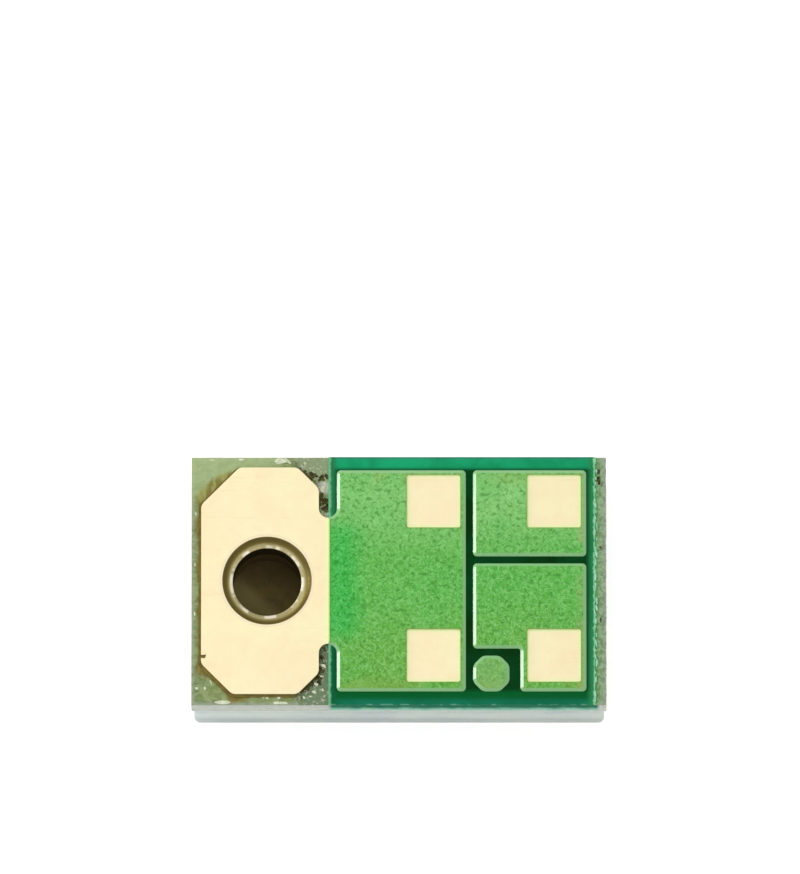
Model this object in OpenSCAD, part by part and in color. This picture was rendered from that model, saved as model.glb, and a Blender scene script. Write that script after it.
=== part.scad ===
// Bottom-port surface-mount microphone, lying on its metal lid with the solder side up.
// Millimetres. The origin is the middle of the lid's outer face, +Z runs up through the
// solder side, +X points away from the sound port, and +Y is the side of the output pad.

/* [Board] */
// Length of the board
board_l = 3.76; // [3.5:0.02:4.4]
// Width of the board
board_w = 2.28; // [2.16:0.02:2.8]
// Thickness of the laminate core
core_t = 0.305; // [0.2:0.005:0.45]

/* [Copper and solder mask] */
// Thickness of the copper on both faces
copper_t = 0.025; // [0.015:0.005:0.04]
// Thickness of the nickel and gold finish
finish_t = 0.005; // [0.003:0.001:0.008]
// Thickness of the solder mask
mask_t = 0.02; // [0.012:0.002:0.03]
// Cover of the solder mask on the side of a land
mask_side = 0.012; // [0.006:0.002:0.02]
// Distance from the board's port end to the solder mask
mask_start = 1.241; // [1.18:0.001:1.35]
// Bare laminate between the solder mask and the board's far end
mask_end_gap = 0.098; // [0.04:0.002:0.14]
// Shift of the mask openings towards the output side
mask_shift = 0.02; // [0:0.004:0.036]

/* [Solder lands] */
// Bare laminate beside the port land at the board's end
port_land_end_gap = 0.094; // [0.05:0.002:0.12]
// Bare laminate beside the port land along the board's long sides
port_land_side_gap = 0.102; // [0.06:0.002:0.14]
// Length of the chamfer at the port land's outer corner on the output side
upper_chamfer = 0.345; // [0.2:0.005:0.4]
// Length of the chamfer at the port land's other outer corner
lower_chamfer = 0.28; // [0.2:0.005:0.4]
// Length of the chamfers at the port land's inner corners
inner_chamfer = 0.195; // [0.12:0.005:0.28]
// Width of the slots beside the neck that joins the port land to the ground plane
slot_w = 0.179; // [0.12:0.001:0.2]
// Half the width of the neck
neck_half_w = 0.575; // [0.5:0.005:0.65]
// Distance of the slots' middle line from the mask's edge
slot_shift = 0.002; // [0.001:0.001:0.03]
// Laminate between the other lands and the board's long sides
land_side_gap = 0.134; // [0.08:0.002:0.16]
// Laminate between the signal lands and the board's far end
land_end_gap = 0.198; // [0.16:0.002:0.24]
// Length of the signal lands
signal_land_l = 1.002; // [0.94:0.002:1.1]
// Width of the output land
output_land_w = 0.77; // [0.7:0.001:0.86]
// Gap between neighbouring lands
land_gap = 0.088; // [0.05:0.002:0.11]
// Gap between the test land and the supply land's leg
leg_gap = 0.122; // [0.07:0.002:0.14]
// Size of the test land across its flats
test_land_w = 0.306; // [0.27:0.002:0.35]
// Length of the chamfers on the test land
test_chamfer = 0.08; // [0.04:0.005:0.1]
// Corner radius of the lands
land_r = 0.025; // [0.02:0.005:0.06]

/* [Solder pads] */
// Length of a solder pad along the board
pad_l = 0.485; // [0.44:0.005:0.5]
// Width of a solder pad across the board
pad_w = 0.485; // [0.42:0.005:0.52]
// Distance from a pad to the far edge of its land along the board
pad_end_inset = 0.038; // [0.03:0.002:0.06]
// Distance from a pad to the side edge of its land, before the mask's shift
pad_side_inset = 0.054; // [0.04:0.002:0.08]
// Corner radius of the pads
pad_r = 0.01; // [0.005:0.005:0.03]

/* [Sound port] */
// Radius of the sound port
port_r = 0.31; // [0.24:0.005:0.32]
// Thickness of the plating in the sound port
barrel_t = 0.025; // [0.02:0.001:0.03]
// Radius of the cove around the port's mouth
cove_r = 0.07; // [0.05:0.005:0.08]

/* [Lid] */
// Height of the lid
lid_h = 0.7; // [0.64:0.01:0.95]
// Sheet thickness of the lid
lid_t = 0.1; // [0.07:0.005:0.12]
// Distance from the board's edges to the lid
lid_inset = 0.02; // [0.01:0.005:0.04]
// Outer radius of the lid's bends and corners
lid_r = 0.05; // [0.04:0.005:0.1]
// Inner radius of the lid's bends and corners
lid_inner_r = 0.04; // [0.02:0.005:0.06]
// Thickness of the solder seam under the lid's rim
seam_t = 0.025; // [0.015:0.005:0.04]
// Width of the seam's bead inside the lid's wall
seam_bead = 0.04; // [0.02:0.005:0.05]

/* [Board's inner face] */
// Thickness of the inner solder mask
inner_mask_t = 0.015; // [0.01:0.001:0.02]
// Distance from the board's edges to the inner copper
inner_copper_inset = 0.03; // [0.02:0.005:0.05]
// Distance of the ground vias from the corners of the masked ground plane
ground_via_inset = 0.2; // [0.16:0.01:0.3]
// Width of the bond islands
island_w = 0.2; // [0.16:0.01:0.24]
// Gap between the bond islands and the inner ground copper
island_gap = 0.06; // [0.04:0.005:0.08]
// Reach of a bond island from its via towards the amplifier
island_reach = 0.22; // [0.18:0.01:0.24]
// Radius of the filled vias
via_r = 0.05; // [0.04:0.002:0.06]

/* [Sound sensor die] */
// Side of the square sensor die
sensor_l = 0.96; // [0.92:0.01:0.98]
// Thickness of the sensor die's silicon
sensor_t = 0.38; // [0.3:0.01:0.42]
// Clearance between the sensor die and the lid's wall
sensor_gap = 0.085; // [0.07:0.005:0.1]
// Radius of the cavity through the sensor die
cavity_r = 0.33; // [0.325:0.005:0.35]
// Width of the adhesive bead under the sensor die
bead_w = 0.1; // [0.08:0.005:0.105]
// Thickness of the diaphragm
diaphragm_t = 0.004; // [0.003:0.001:0.005]
// Overlap of the diaphragm on the cavity's rim
diaphragm_lap = 0.03; // [0.02:0.005:0.04]
// Air gap between the diaphragm and the backplate
air_gap = 0.006; // [0.004:0.001:0.01]
// Thickness of the backplate
backplate_t = 0.006; // [0.004:0.001:0.008]
// Radius of the holes in the backplate
vent_r = 0.022; // [0.014:0.002:0.026]
// Distance between the holes in the backplate
vent_pitch = 0.09; // [0.08:0.005:0.1]

/* [Amplifier die] */
// Length of the amplifier die
amp_l = 0.62; // [0.56:0.01:0.66]
// Width of the amplifier die
amp_w = 0.7; // [0.62:0.01:0.8]
// Thickness of the amplifier die
amp_t = 0.18; // [0.14:0.01:0.22]
// Gap between the two dies
die_gap = 0.28; // [0.26:0.01:0.32]
// Thickness of the adhesive under both dies
adhesive_t = 0.02; // [0.015:0.005:0.03]
// Reach of the adhesive past the amplifier die
adhesive_fillet = 0.03; // [0.02:0.005:0.04]

/* [Bond wires and encapsulant] */
// Radius of the gold bond wires
wire_r = 0.0125; // [0.01:0.0005:0.015]
// Rise of a wire's loop above the line between its ends
wire_loop = 0.08; // [0.06:0.005:0.09]
// Radius of the ball at a wire's first end
ball_r = 0.028; // [0.024:0.002:0.032]
// Height of the ball and of the stitch at a wire's ends
ball_h = 0.03; // [0.028:0.002:0.034]
// Side of the bond pads on the dies
bond_pad_l = 0.07; // [0.066:0.002:0.08]
// Distance of the bond pads from the dies' edges
bond_pad_inset = 0.01; // [0.005:0.005:0.02]
// Thickness of the bond pads on the dies
bond_pad_t = 0.004; // [0.003:0.001:0.006]
// Distance between the wires that join the two dies
wire_pitch = 0.17; // [0.14:0.01:0.2]
// Height of the encapsulant over the amplifier
glob_h = 0.38; // [0.36:0.01:0.42]
// Edge radius of the encapsulant
glob_r = 0.17; // [0.12:0.01:0.18]
// Cover of the encapsulant past the amplifier and the bond islands
glob_cover = 0.1; // [0.08:0.01:0.12]

/* [Hidden] */
$fn = 48;
eps = 0.2;

// Levels, from the lid's outer face up to the top of the solder mask
z_copper_in = lid_h + seam_t;
z_core = z_copper_in + copper_t;
z_core_top = z_core + core_t;
z_copper_top = z_core_top + copper_t;
z_finish_top = z_copper_top + finish_t;
z_mask_top = z_copper_top + mask_t;
z_mask_in = z_copper_in - inner_mask_t;
z_dies = z_mask_in - adhesive_t;
z_sensor_face = z_dies - sensor_t;
z_backplate_top = z_sensor_face - diaphragm_t - air_gap;
z_backplate = z_backplate_top - backplate_t;
z_amp_face = z_dies - amp_t;

// Stations along the board
x_end = board_l / 2;
x_mask = mask_start - x_end;
x_mask_far = x_end - mask_end_gap;
x_port_land = port_land_end_gap - x_end;
x_slot = x_mask - slot_shift;
x_port_land_far = x_slot - slot_w / 2;
x_plane = x_slot + slot_w / 2;
x_signal_far = x_end - land_end_gap;
x_signal = x_signal_far - signal_land_l;
x_plane_far = x_signal - land_gap;
x_test_far = x_signal + test_land_w;
x_leg = x_test_far + leg_gap;
x_via = x_signal + test_land_w / 2;
x_port = lid_inset + lid_t + sensor_gap + sensor_l / 2 - x_end;
x_amp = x_port + sensor_l / 2 + die_gap + amp_l / 2;
x_bond = x_via - island_reach + island_w / 2;
hole_r = port_r + barrel_t;

// Stations across the board
y_side = board_w / 2;
y_land = y_side - land_side_gap;
y_port_land = y_side - port_land_side_gap;
y_output = y_land - output_land_w;
y_supply = y_output - land_gap;
y_test = test_land_w - y_land;
y_supply_low = y_test + land_gap;
y_pad = y_land - pad_side_inset - pad_w / 2;
y_pad_output = y_pad + mask_shift;
y_pad_ground = mask_shift - y_pad;

// Where the three signals and the ground reach the board's inner face
y_island = [(y_land + y_output) / 2, (y_supply + y_supply_low) / 2, y_test - test_land_w / 2];
y_ground_bond = (y_island[0] + y_island[1]) / 2;
island_points = [for (y = y_island) [x_via, y]];
ground_via_points = [for (x = [x_plane + ground_via_inset, x_plane_far - ground_via_inset], side = [-1, 1])
    [x, side * (y_land - ground_via_inset)]];

// Ends of the bond wires: the side of the dies that faces the lid, and the inner copper
bond_edge = bond_pad_l / 2 + bond_pad_inset;
x_sensor_bond = x_port + sensor_l / 2 - bond_edge;
x_amp_in = x_amp - amp_l / 2 + bond_edge;
x_amp_out = x_amp + amp_l / 2 - bond_edge;
y_die_bonds = [for (i = [-1:1]) i * wire_pitch];
y_board_bonds = [y_island[0], y_ground_bond, y_island[1], y_island[2]];
last_bond = len(y_board_bonds) - 1;
y_amp_out = [for (i = [0:last_bond]) (amp_w / 2 - bond_edge) * (1 - 2 * i / last_bond)];
z_sensor_bond = z_backplate - bond_pad_t;
z_amp_bond = z_amp_face - bond_pad_t;

// A flat shape made into a layer whose upper face is at the given height
module layer(top, thickness) {
    translate([0, 0, top - thickness]) linear_extrude(thickness) children();
}

// A rectangle between two corners, with round corners, grown by a given amount on all sides
module rounded_rect(low, high, r, grow = 0) {
    reach = r + grow;
    translate([low.x + r, low.y - grow]) square([high.x - low.x - 2 * r, high.y - low.y + 2 * grow]);
    translate([low.x - grow, low.y + r]) square([high.x - low.x + 2 * grow, high.y - low.y - 2 * r]);
    for (x = [low.x + r, high.x - r], y = [low.y + r, high.y - r])
        translate([x, y]) circle(r = reach);
}

// A brick on its flat top face, with round corners and a rounded edge all round its underside
module soft_brick(size, r) {
    half_l = size.x / 2 - r;
    half_w = size.y / 2 - r;
    translate([-half_l, -half_w, 0]) cube([2 * half_l, 2 * half_w, size.z]);
    translate([-size.x / 2, -half_w, r]) cube([size.x, 2 * half_w, size.z - r]);
    translate([-half_l, -size.y / 2, r]) cube([2 * half_l, size.y, size.z - r]);
    for (x = [-half_l, half_l])
        translate([x, half_w, r]) rotate([90, 0, 0]) cylinder(r = r, h = 2 * half_w);
    for (y = [-half_w, half_w])
        translate([-half_l, y, r]) rotate([0, 90, 0]) cylinder(r = r, h = 2 * half_l);
    for (x = [-half_l, half_l], y = [-half_w, half_w]) translate([x, y, r]) {
        sphere(r = r);
        cylinder(r = r, h = size.z - r);
    }
}

// The hole through the board for the port's plating, with the cove around its mouth
module port_cut() {
    translate([x_port, 0, 0]) {
        translate([0, 0, z_copper_in - eps]) cylinder(r = hole_r, h = z_core_top - z_copper_in + 2 * eps);
        rotate_extrude() intersection() {
            translate([hole_r, z_finish_top]) circle(r = cove_r + barrel_t);
            translate([0, z_core]) square([hole_r + cove_r + eps, z_finish_top]);
        }
    }
}

// Outline of the port land, an oblong with its corners cut off
module port_land_outline(grow = 0) {
    low = x_port_land - grow;
    high = x_port_land_far + grow;
    side = y_port_land + grow;
    polygon([
        [low, lower_chamfer - side], [low + lower_chamfer, -side],
        [high - inner_chamfer, -side], [high, inner_chamfer - side],
        [high, side - inner_chamfer], [high - inner_chamfer, side],
        [low + upper_chamfer, side], [low, side - upper_chamfer],
    ]);
}

// The neck between the port land and the ground plane, with the round ends of its two slots
module neck_outline(grow = 0) {
    round_end = neck_half_w + slot_w / 2;
    difference() {
        translate([x_port_land_far - eps / 2, -round_end])
            square([slot_w + eps, 2 * round_end]);
        for (side = [-1, 1]) translate([x_slot, side * round_end])
            circle(r = slot_w / 2 - grow);
    }
}

// The part of the ground plane that the solder mask covers
module plane_outline(grow = 0) {
    rounded_rect([x_plane, -y_land], [x_plane_far, y_land], land_r, grow);
}

// The whole outline of the ground copper: plane, neck and port land
module ground_outline(grow = 0) {
    plane_outline(grow);
    neck_outline(grow);
    port_land_outline(grow);
}

module output_outline(grow = 0) {
    rounded_rect([x_signal, y_output], [x_signal_far, y_land], land_r, grow);
}

// The supply land has a leg that passes the test land and carries the pad
module supply_outline(grow = 0) {
    rounded_rect([x_signal, y_supply_low], [x_signal_far, y_supply], land_r, grow);
    rounded_rect([x_leg, -y_land], [x_signal_far, y_supply], land_r, grow);
}

// An octagon with short diagonal sides
module test_outline(grow = 0) {
    low = [x_signal - grow, -y_land - grow];
    high = [x_test_far + grow, y_test + grow];
    c = test_chamfer;
    polygon([
        [low.x + c, low.y], [high.x - c, low.y], [high.x, low.y + c], [high.x, high.y - c],
        [high.x - c, high.y], [low.x + c, high.y], [low.x, high.y - c], [low.x, low.y + c],
    ]);
}

// One solder pad, which ends a fixed distance before the far edge of its land
module pad_outline(land_far, y) {
    high = land_far - pad_end_inset;
    rounded_rect([high - pad_l, y - pad_w / 2], [high, y + pad_w / 2], pad_r);
}

module all_pads_outline() {
    for (far = [x_plane_far, x_signal_far], y = [y_pad_ground, y_pad_output])
        pad_outline(far, y);
}

// The area of the board that the outer solder mask covers
module masked_area() {
    translate([x_mask, -y_side]) square([x_mask_far - x_mask, board_w]);
}

// A thin gold layer on one solder pad
module pad_finish(land_far, y) {
    color("palegoldenrod") layer(z_finish_top, finish_t) pad_outline(land_far, y);
}

// Solder side

module board_core() {
    color("darkseagreen") difference() {
        layer(z_core_top, core_t) translate([-x_end, -y_side]) square([board_l, board_w]);
        port_cut();
        for (p = concat(ground_via_points, island_points))
            translate([p.x, p.y, z_core - eps]) cylinder(r = via_r, h = core_t + 2 * eps);
    }
}

// Plating of the sound port: a sleeve, a flat lip and a cove that ends level with the land
module barrel_plating() {
    color("darkkhaki") translate([x_port, 0, 0]) rotate_extrude() {
        translate([port_r, z_copper_in]) square([barrel_t, z_finish_top - cove_r - z_copper_in]);
        intersection() {
            difference() {
                translate([hole_r, z_finish_top]) circle(r = cove_r + barrel_t);
                translate([hole_r, z_finish_top]) circle(r = cove_r);
            }
            translate([hole_r, z_core]) square([cove_r + 2 * barrel_t, z_finish_top - z_core]);
        }
    }
}

module ground_plane() {
    color("mediumseagreen") difference() {
        layer(z_copper_top, copper_t) ground_outline();
        port_cut();
    }
}

module output_land() {
    color("mediumseagreen") layer(z_copper_top, copper_t) output_outline();
}

module supply_land() {
    color("mediumseagreen") layer(z_copper_top, copper_t) supply_outline();
}

module test_land() {
    color("mediumseagreen") layer(z_copper_top, copper_t) test_outline();
}

// The mask lies flat on the laminate and climbs over each land, and is open at the pads
module solder_mask() {
    color("forestgreen") difference() {
        union() {
            layer(z_core_top + mask_t, mask_t) masked_area();
            layer(z_mask_top, copper_t + mask_t) intersection() {
                masked_area();
                union() {
                    ground_outline(mask_side);
                    output_outline(mask_side);
                    supply_outline(mask_side);
                    test_outline(mask_side);
                }
            }
        }
        layer(z_copper_top, copper_t) {
            ground_outline();
            output_outline();
            supply_outline();
            test_outline();
        }
        layer(z_mask_top + eps, mask_t + eps) all_pads_outline();
    }
}

// The finish covers the top and sides of the copper that the mask leaves bare
module port_land_finish() {
    color("palegoldenrod") difference() {
        layer(z_finish_top, copper_t + finish_t) intersection() {
            union() {
                port_land_outline(finish_t);
                neck_outline(finish_t);
            }
            translate([-x_end, -y_side]) square([mask_start, board_w]);
        }
        layer(z_copper_top, copper_t) ground_outline();
        port_cut();
    }
}

module ground_pad_upper() { pad_finish(x_plane_far, y_pad_output); }

module ground_pad_lower() { pad_finish(x_plane_far, y_pad_ground); }

module output_pad() { pad_finish(x_signal_far, y_pad_output); }

module supply_pad() { pad_finish(x_signal_far, y_pad_ground); }

module ground_vias() {
    color("peru") for (p = ground_via_points)
        translate([p.x, p.y, z_core]) cylinder(r = via_r, h = core_t);
}

module signal_vias() {
    color("peru") for (p = island_points)
        translate([p.x, p.y, z_core]) cylinder(r = via_r, h = core_t);
}

// Board's inner face

// The window in the inner mask and in the sensor's adhesive, around the port
module port_window() {
    half = sensor_l / 2 - bead_w;
    rounded_rect([x_port - half, -half], [x_port + half, half], land_r);
}

// One bond island, from the bond's end past its via
module island_outline(p, grow = 0) {
    rounded_rect([p.x - island_reach, p.y - island_w / 2],
        [p.x + island_w / 2, p.y + island_w / 2], land_r, grow);
}

module inner_ground() {
    l = board_l - 2 * inner_copper_inset;
    w = board_w - 2 * inner_copper_inset;
    color("peru") layer(z_core, copper_t) difference() {
        square([l, w], center = true);
        translate([x_port, 0]) circle(r = hole_r);
        for (p = island_points) island_outline(p, island_gap);
    }
}

module bond_islands() {
    color("goldenrod") layer(z_core, copper_t)
        for (p = island_points) island_outline(p);
}

// The inner mask stops short of the lid's seam, and is open at the port and at the bonds
module inner_mask() {
    gap = lid_inset + lid_t + seam_bead + island_gap / 2;
    color("seagreen") layer(z_copper_in, inner_mask_t) difference() {
        square([board_l - 2 * gap, board_w - 2 * gap], center = true);
        port_window();
        for (p = island_points) island_outline(p, island_gap / 2);
        translate([x_bond, y_ground_bond]) circle(r = island_w / 2);
    }
}

// Lid

// Outline of the lid's wall, set in from its outer faces by the given amount
module lid_outline(inset, r) {
    edge = lid_inset + inset;
    rounded_rect([edge - x_end, edge - y_side], [x_end - edge, y_side - edge], r);
}

module lid_can() {
    l = board_l - 2 * lid_inset;
    w = board_w - 2 * lid_inset;
    color("silver") difference() {
        soft_brick([l, w, lid_h], lid_r);
        translate([0, 0, lid_t])
            soft_brick([l - 2 * lid_t, w - 2 * lid_t, lid_h], lid_inner_r);
    }
}

module lid_seam() {
    color("gainsboro") layer(z_copper_in, seam_t) difference() {
        lid_outline(0, lid_r);
        lid_outline(lid_t + seam_bead, lid_inner_r);
    }
}

// Sound sensor die

module sensor_square() {
    translate([x_port, 0]) square(sensor_l, center = true);
}

module sensor_adhesive() {
    color("lightgray") layer(z_mask_in, adhesive_t) difference() {
        sensor_square();
        port_window();
    }
}

module sensor_frame() {
    color("slategray") layer(z_dies, sensor_t) difference() {
        sensor_square();
        translate([x_port, 0]) circle(r = cavity_r);
    }
}

module diaphragm() {
    color("darkslategray") layer(z_sensor_face, diaphragm_t)
        translate([x_port, 0]) circle(r = cavity_r + diaphragm_lap);
}

// The spacer surrounds the diaphragm and holds the backplate off it
module oxide_spacer() {
    color("lightsteelblue") layer(z_sensor_face, diaphragm_t + air_gap) difference() {
        sensor_square();
        translate([x_port, 0]) circle(r = cavity_r + diaphragm_lap);
    }
}

// Rows of vent holes in a hexagonal pattern that stays inside the cavity's radius
module backplate() {
    row_h = vent_pitch * sqrt(3) / 2;
    rows = floor((cavity_r - 2 * vent_r) / row_h);
    color("dimgray") layer(z_backplate_top, backplate_t) difference() {
        sensor_square();
        for (row = [-rows:rows], column = [-rows:rows]) {
            x = (column + (row % 2 == 0 ? 0 : 0.5)) * vent_pitch;
            y = row * row_h;
            if (norm([x, y]) < cavity_r - vent_r)
                translate([x_port + x, y]) circle(r = vent_r, $fn = 16);
        }
    }
}

module sensor_pads() {
    color("gold") layer(z_backplate, bond_pad_t)
        for (y = y_die_bonds) translate([x_sensor_bond, y]) square(bond_pad_l, center = true);
}

// Amplifier die

module amplifier_outline(grow = 0) {
    translate([x_amp, 0]) square([amp_l + 2 * grow, amp_w + 2 * grow], center = true);
}

module amplifier_adhesive() {
    color("lightgray") layer(z_mask_in, adhesive_t) amplifier_outline(adhesive_fillet);
}

module amplifier_die() {
    color("darkslateblue") layer(z_dies, amp_t) amplifier_outline();
}

module amplifier_pads() {
    color("gold") layer(z_amp_face, bond_pad_t) {
        for (y = y_die_bonds) translate([x_amp_in, y]) square(bond_pad_l, center = true);
        for (y = y_amp_out) translate([x_amp_out, y]) square(bond_pad_l, center = true);
    }
}

// Bond wires

// A wire bent in one arc between two bonds, which are given on the surfaces that carry them.
// It starts in a ball, ends in a stitch of the same height, and its loop hangs towards the lid.
module bond_wire(first, last) {
    lift = [0, 0, ball_h / 2];
    a = first - lift;
    d = last - first;
    chord = norm(d);
    arc_r = (chord * chord / 4 + wire_loop * wire_loop) / (2 * wire_loop);
    half = asin(chord / 2 / arc_r);
    translate(a) rotate([0, 0, atan2(d.y, d.x)]) rotate([0, -asin(d.z / chord), 0])
        translate([chord / 2, 0, arc_r - wire_loop]) rotate([90, 0, 0])
            rotate([0, 0, -90 - half]) rotate_extrude(angle = 2 * half)
                translate([arc_r, 0]) circle(r = wire_r, $fn = 16);
    for (end = [first, last])
        translate([end.x, end.y, end.z - ball_h]) cylinder(r = ball_r, h = ball_h, $fn = 24);
}

module sensor_wires() {
    color("gold") for (y = y_die_bonds)
        bond_wire([x_sensor_bond, y, z_sensor_bond], [x_amp_in, y, z_amp_bond]);
}

module board_wires() {
    color("gold") for (i = [0:last_bond])
        bond_wire([x_amp_out, y_amp_out[i], z_amp_bond], [x_bond, y_board_bonds[i], z_copper_in]);
}

// Encapsulant: a poured block over the amplifier and the wires that leave it
module encapsulant() {
    low = x_amp - amp_l / 2 - glob_cover;
    high = x_via + island_w / 2 + glob_cover;
    w = 2 * (max(amp_w / 2, -y_island[2]) + island_w / 2);
    color([0.08, 0.08, 0.09]) difference() {
        translate([(low + high) / 2, 0, z_mask_in - glob_h])
            soft_brick([high - low, w, glob_h], glob_r);
        amplifier_adhesive();
        amplifier_die();
        amplifier_pads();
        sensor_wires();
        board_wires();
    }
}

lid_can();
lid_seam();
board_core();
barrel_plating();
ground_plane();
output_land();
supply_land();
test_land();
solder_mask();
port_land_finish();
ground_pad_upper();
ground_pad_lower();
output_pad();
supply_pad();
inner_ground();
bond_islands();
inner_mask();
ground_vias();
signal_vias();
sensor_adhesive();
sensor_frame();
diaphragm();
oxide_spacer();
backplate();
sensor_pads();
amplifier_adhesive();
amplifier_die();
amplifier_pads();
sensor_wires();
board_wires();
encapsulant();
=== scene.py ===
"""Looks of a surface-mount microphone that lies on its lid with the solder side up.

Each mesh is worked on in millimetres, as on a bench, and is turned into metres when it is
finished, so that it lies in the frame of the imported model. Levels and stations are read from
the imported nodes, and sizes that no node's box gives are fields of the classes. A colour is a
display colour of 0 to 255, and heights and places in a finish are in millimetres.
"""
import logging
import math
import random
from collections.abc import Callable, Iterable, Sequence
from dataclasses import dataclass
from enum import Enum
from typing import Any

import bmesh
import bpy
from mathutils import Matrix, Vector


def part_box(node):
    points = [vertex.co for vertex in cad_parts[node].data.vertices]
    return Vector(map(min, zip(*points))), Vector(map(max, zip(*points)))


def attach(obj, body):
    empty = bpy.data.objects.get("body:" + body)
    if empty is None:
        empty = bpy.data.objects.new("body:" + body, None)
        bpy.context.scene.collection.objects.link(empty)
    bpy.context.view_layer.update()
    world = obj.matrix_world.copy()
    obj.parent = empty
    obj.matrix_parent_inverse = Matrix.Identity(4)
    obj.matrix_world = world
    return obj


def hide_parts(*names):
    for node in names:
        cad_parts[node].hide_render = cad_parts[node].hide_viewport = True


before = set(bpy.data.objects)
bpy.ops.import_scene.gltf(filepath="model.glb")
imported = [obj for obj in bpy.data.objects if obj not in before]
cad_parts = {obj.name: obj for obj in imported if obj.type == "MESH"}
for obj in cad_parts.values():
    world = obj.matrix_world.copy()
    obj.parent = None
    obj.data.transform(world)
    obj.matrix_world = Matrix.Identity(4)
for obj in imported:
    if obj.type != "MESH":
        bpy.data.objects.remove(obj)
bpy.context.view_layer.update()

log = logging.getLogger("microphone")

MM = 0.001
CLOSE = 1e-4
CLEAR = 0.1
EDGE_STEPS = 2
SLANT = math.sqrt(0.5)
PADS = ("ground_pad_upper", "ground_pad_lower", "output_pad", "supply_pad")

Point = tuple[float, float, float]
Side = tuple[float, float, float]
Rgb = tuple[int, int, int]
Test = Callable[[Any], bool]


class Part(Enum):
    """What a selection holds."""

    VERTS = "VERT"
    EDGES = "EDGE"
    FACES = "FACE"


class Slot(Enum):
    """Material slots of the record that the modelled pieces use."""

    LID = "lid_metal"
    SOLDER = "solder"
    LAMINATE = "laminate"
    PLATING = "port_plating"
    MASK = "solder_mask"
    GOLD = "gold_finish"


def near(a: float, b: float) -> bool:
    """Tells whether two lengths are the same on the bench."""
    return abs(a - b) < CLOSE


def corners(node: str) -> tuple[Vector, Vector]:
    """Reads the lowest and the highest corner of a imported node, in millimetres."""
    low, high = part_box(node)
    return Vector(low) / MM, Vector(high) / MM


def middle(item: Any) -> Vector:
    """Gives the middle of an edge or a face.

    Args:
        item: An edge or a face of a bmesh.

    Returns:
        Its middle.
    """
    if isinstance(item, bmesh.types.BMEdge):
        return (item.verts[0].co + item.verts[1].co) / 2
    return item.calc_center_median()


def anything(item: Any) -> bool:
    """Passes every vertex, edge and face."""
    return True


def upright(edge: bmesh.types.BMEdge) -> bool:
    """Tells whether an edge runs along Z."""
    a, b = (vert.co for vert in edge.verts)
    return near(a.x, b.x) and near(a.y, b.y)


def level(edge: bmesh.types.BMEdge, z: float) -> bool:
    """Tells whether an edge lies at one height."""
    return all(near(vert.co.z, z) for vert in edge.verts)


def on_wall(item: Any, high: Vector) -> bool:
    """Tells whether an edge's middle lies on an outer wall of a box round the origin."""
    at = middle(item)
    return near(abs(at.x), high.x) or near(abs(at.y), high.y)


def looks_up(face: bmesh.types.BMFace) -> bool:
    """Tells whether a face looks up."""
    return face.normal.z > 0.9


def looks_down(face: bmesh.types.BMFace) -> bool:
    """Tells whether a face looks down."""
    return face.normal.z < -0.9


def srgb(colour: Rgb) -> tuple[float, float, float, float]:
    """Turns a display colour into the linear colour that shaders take."""
    shares = [value / 255 for value in colour]
    return *(s / 12.92 if s <= 0.04045 else ((s + 0.055) / 1.055) ** 2.4 for s in shares), 1.0


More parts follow.
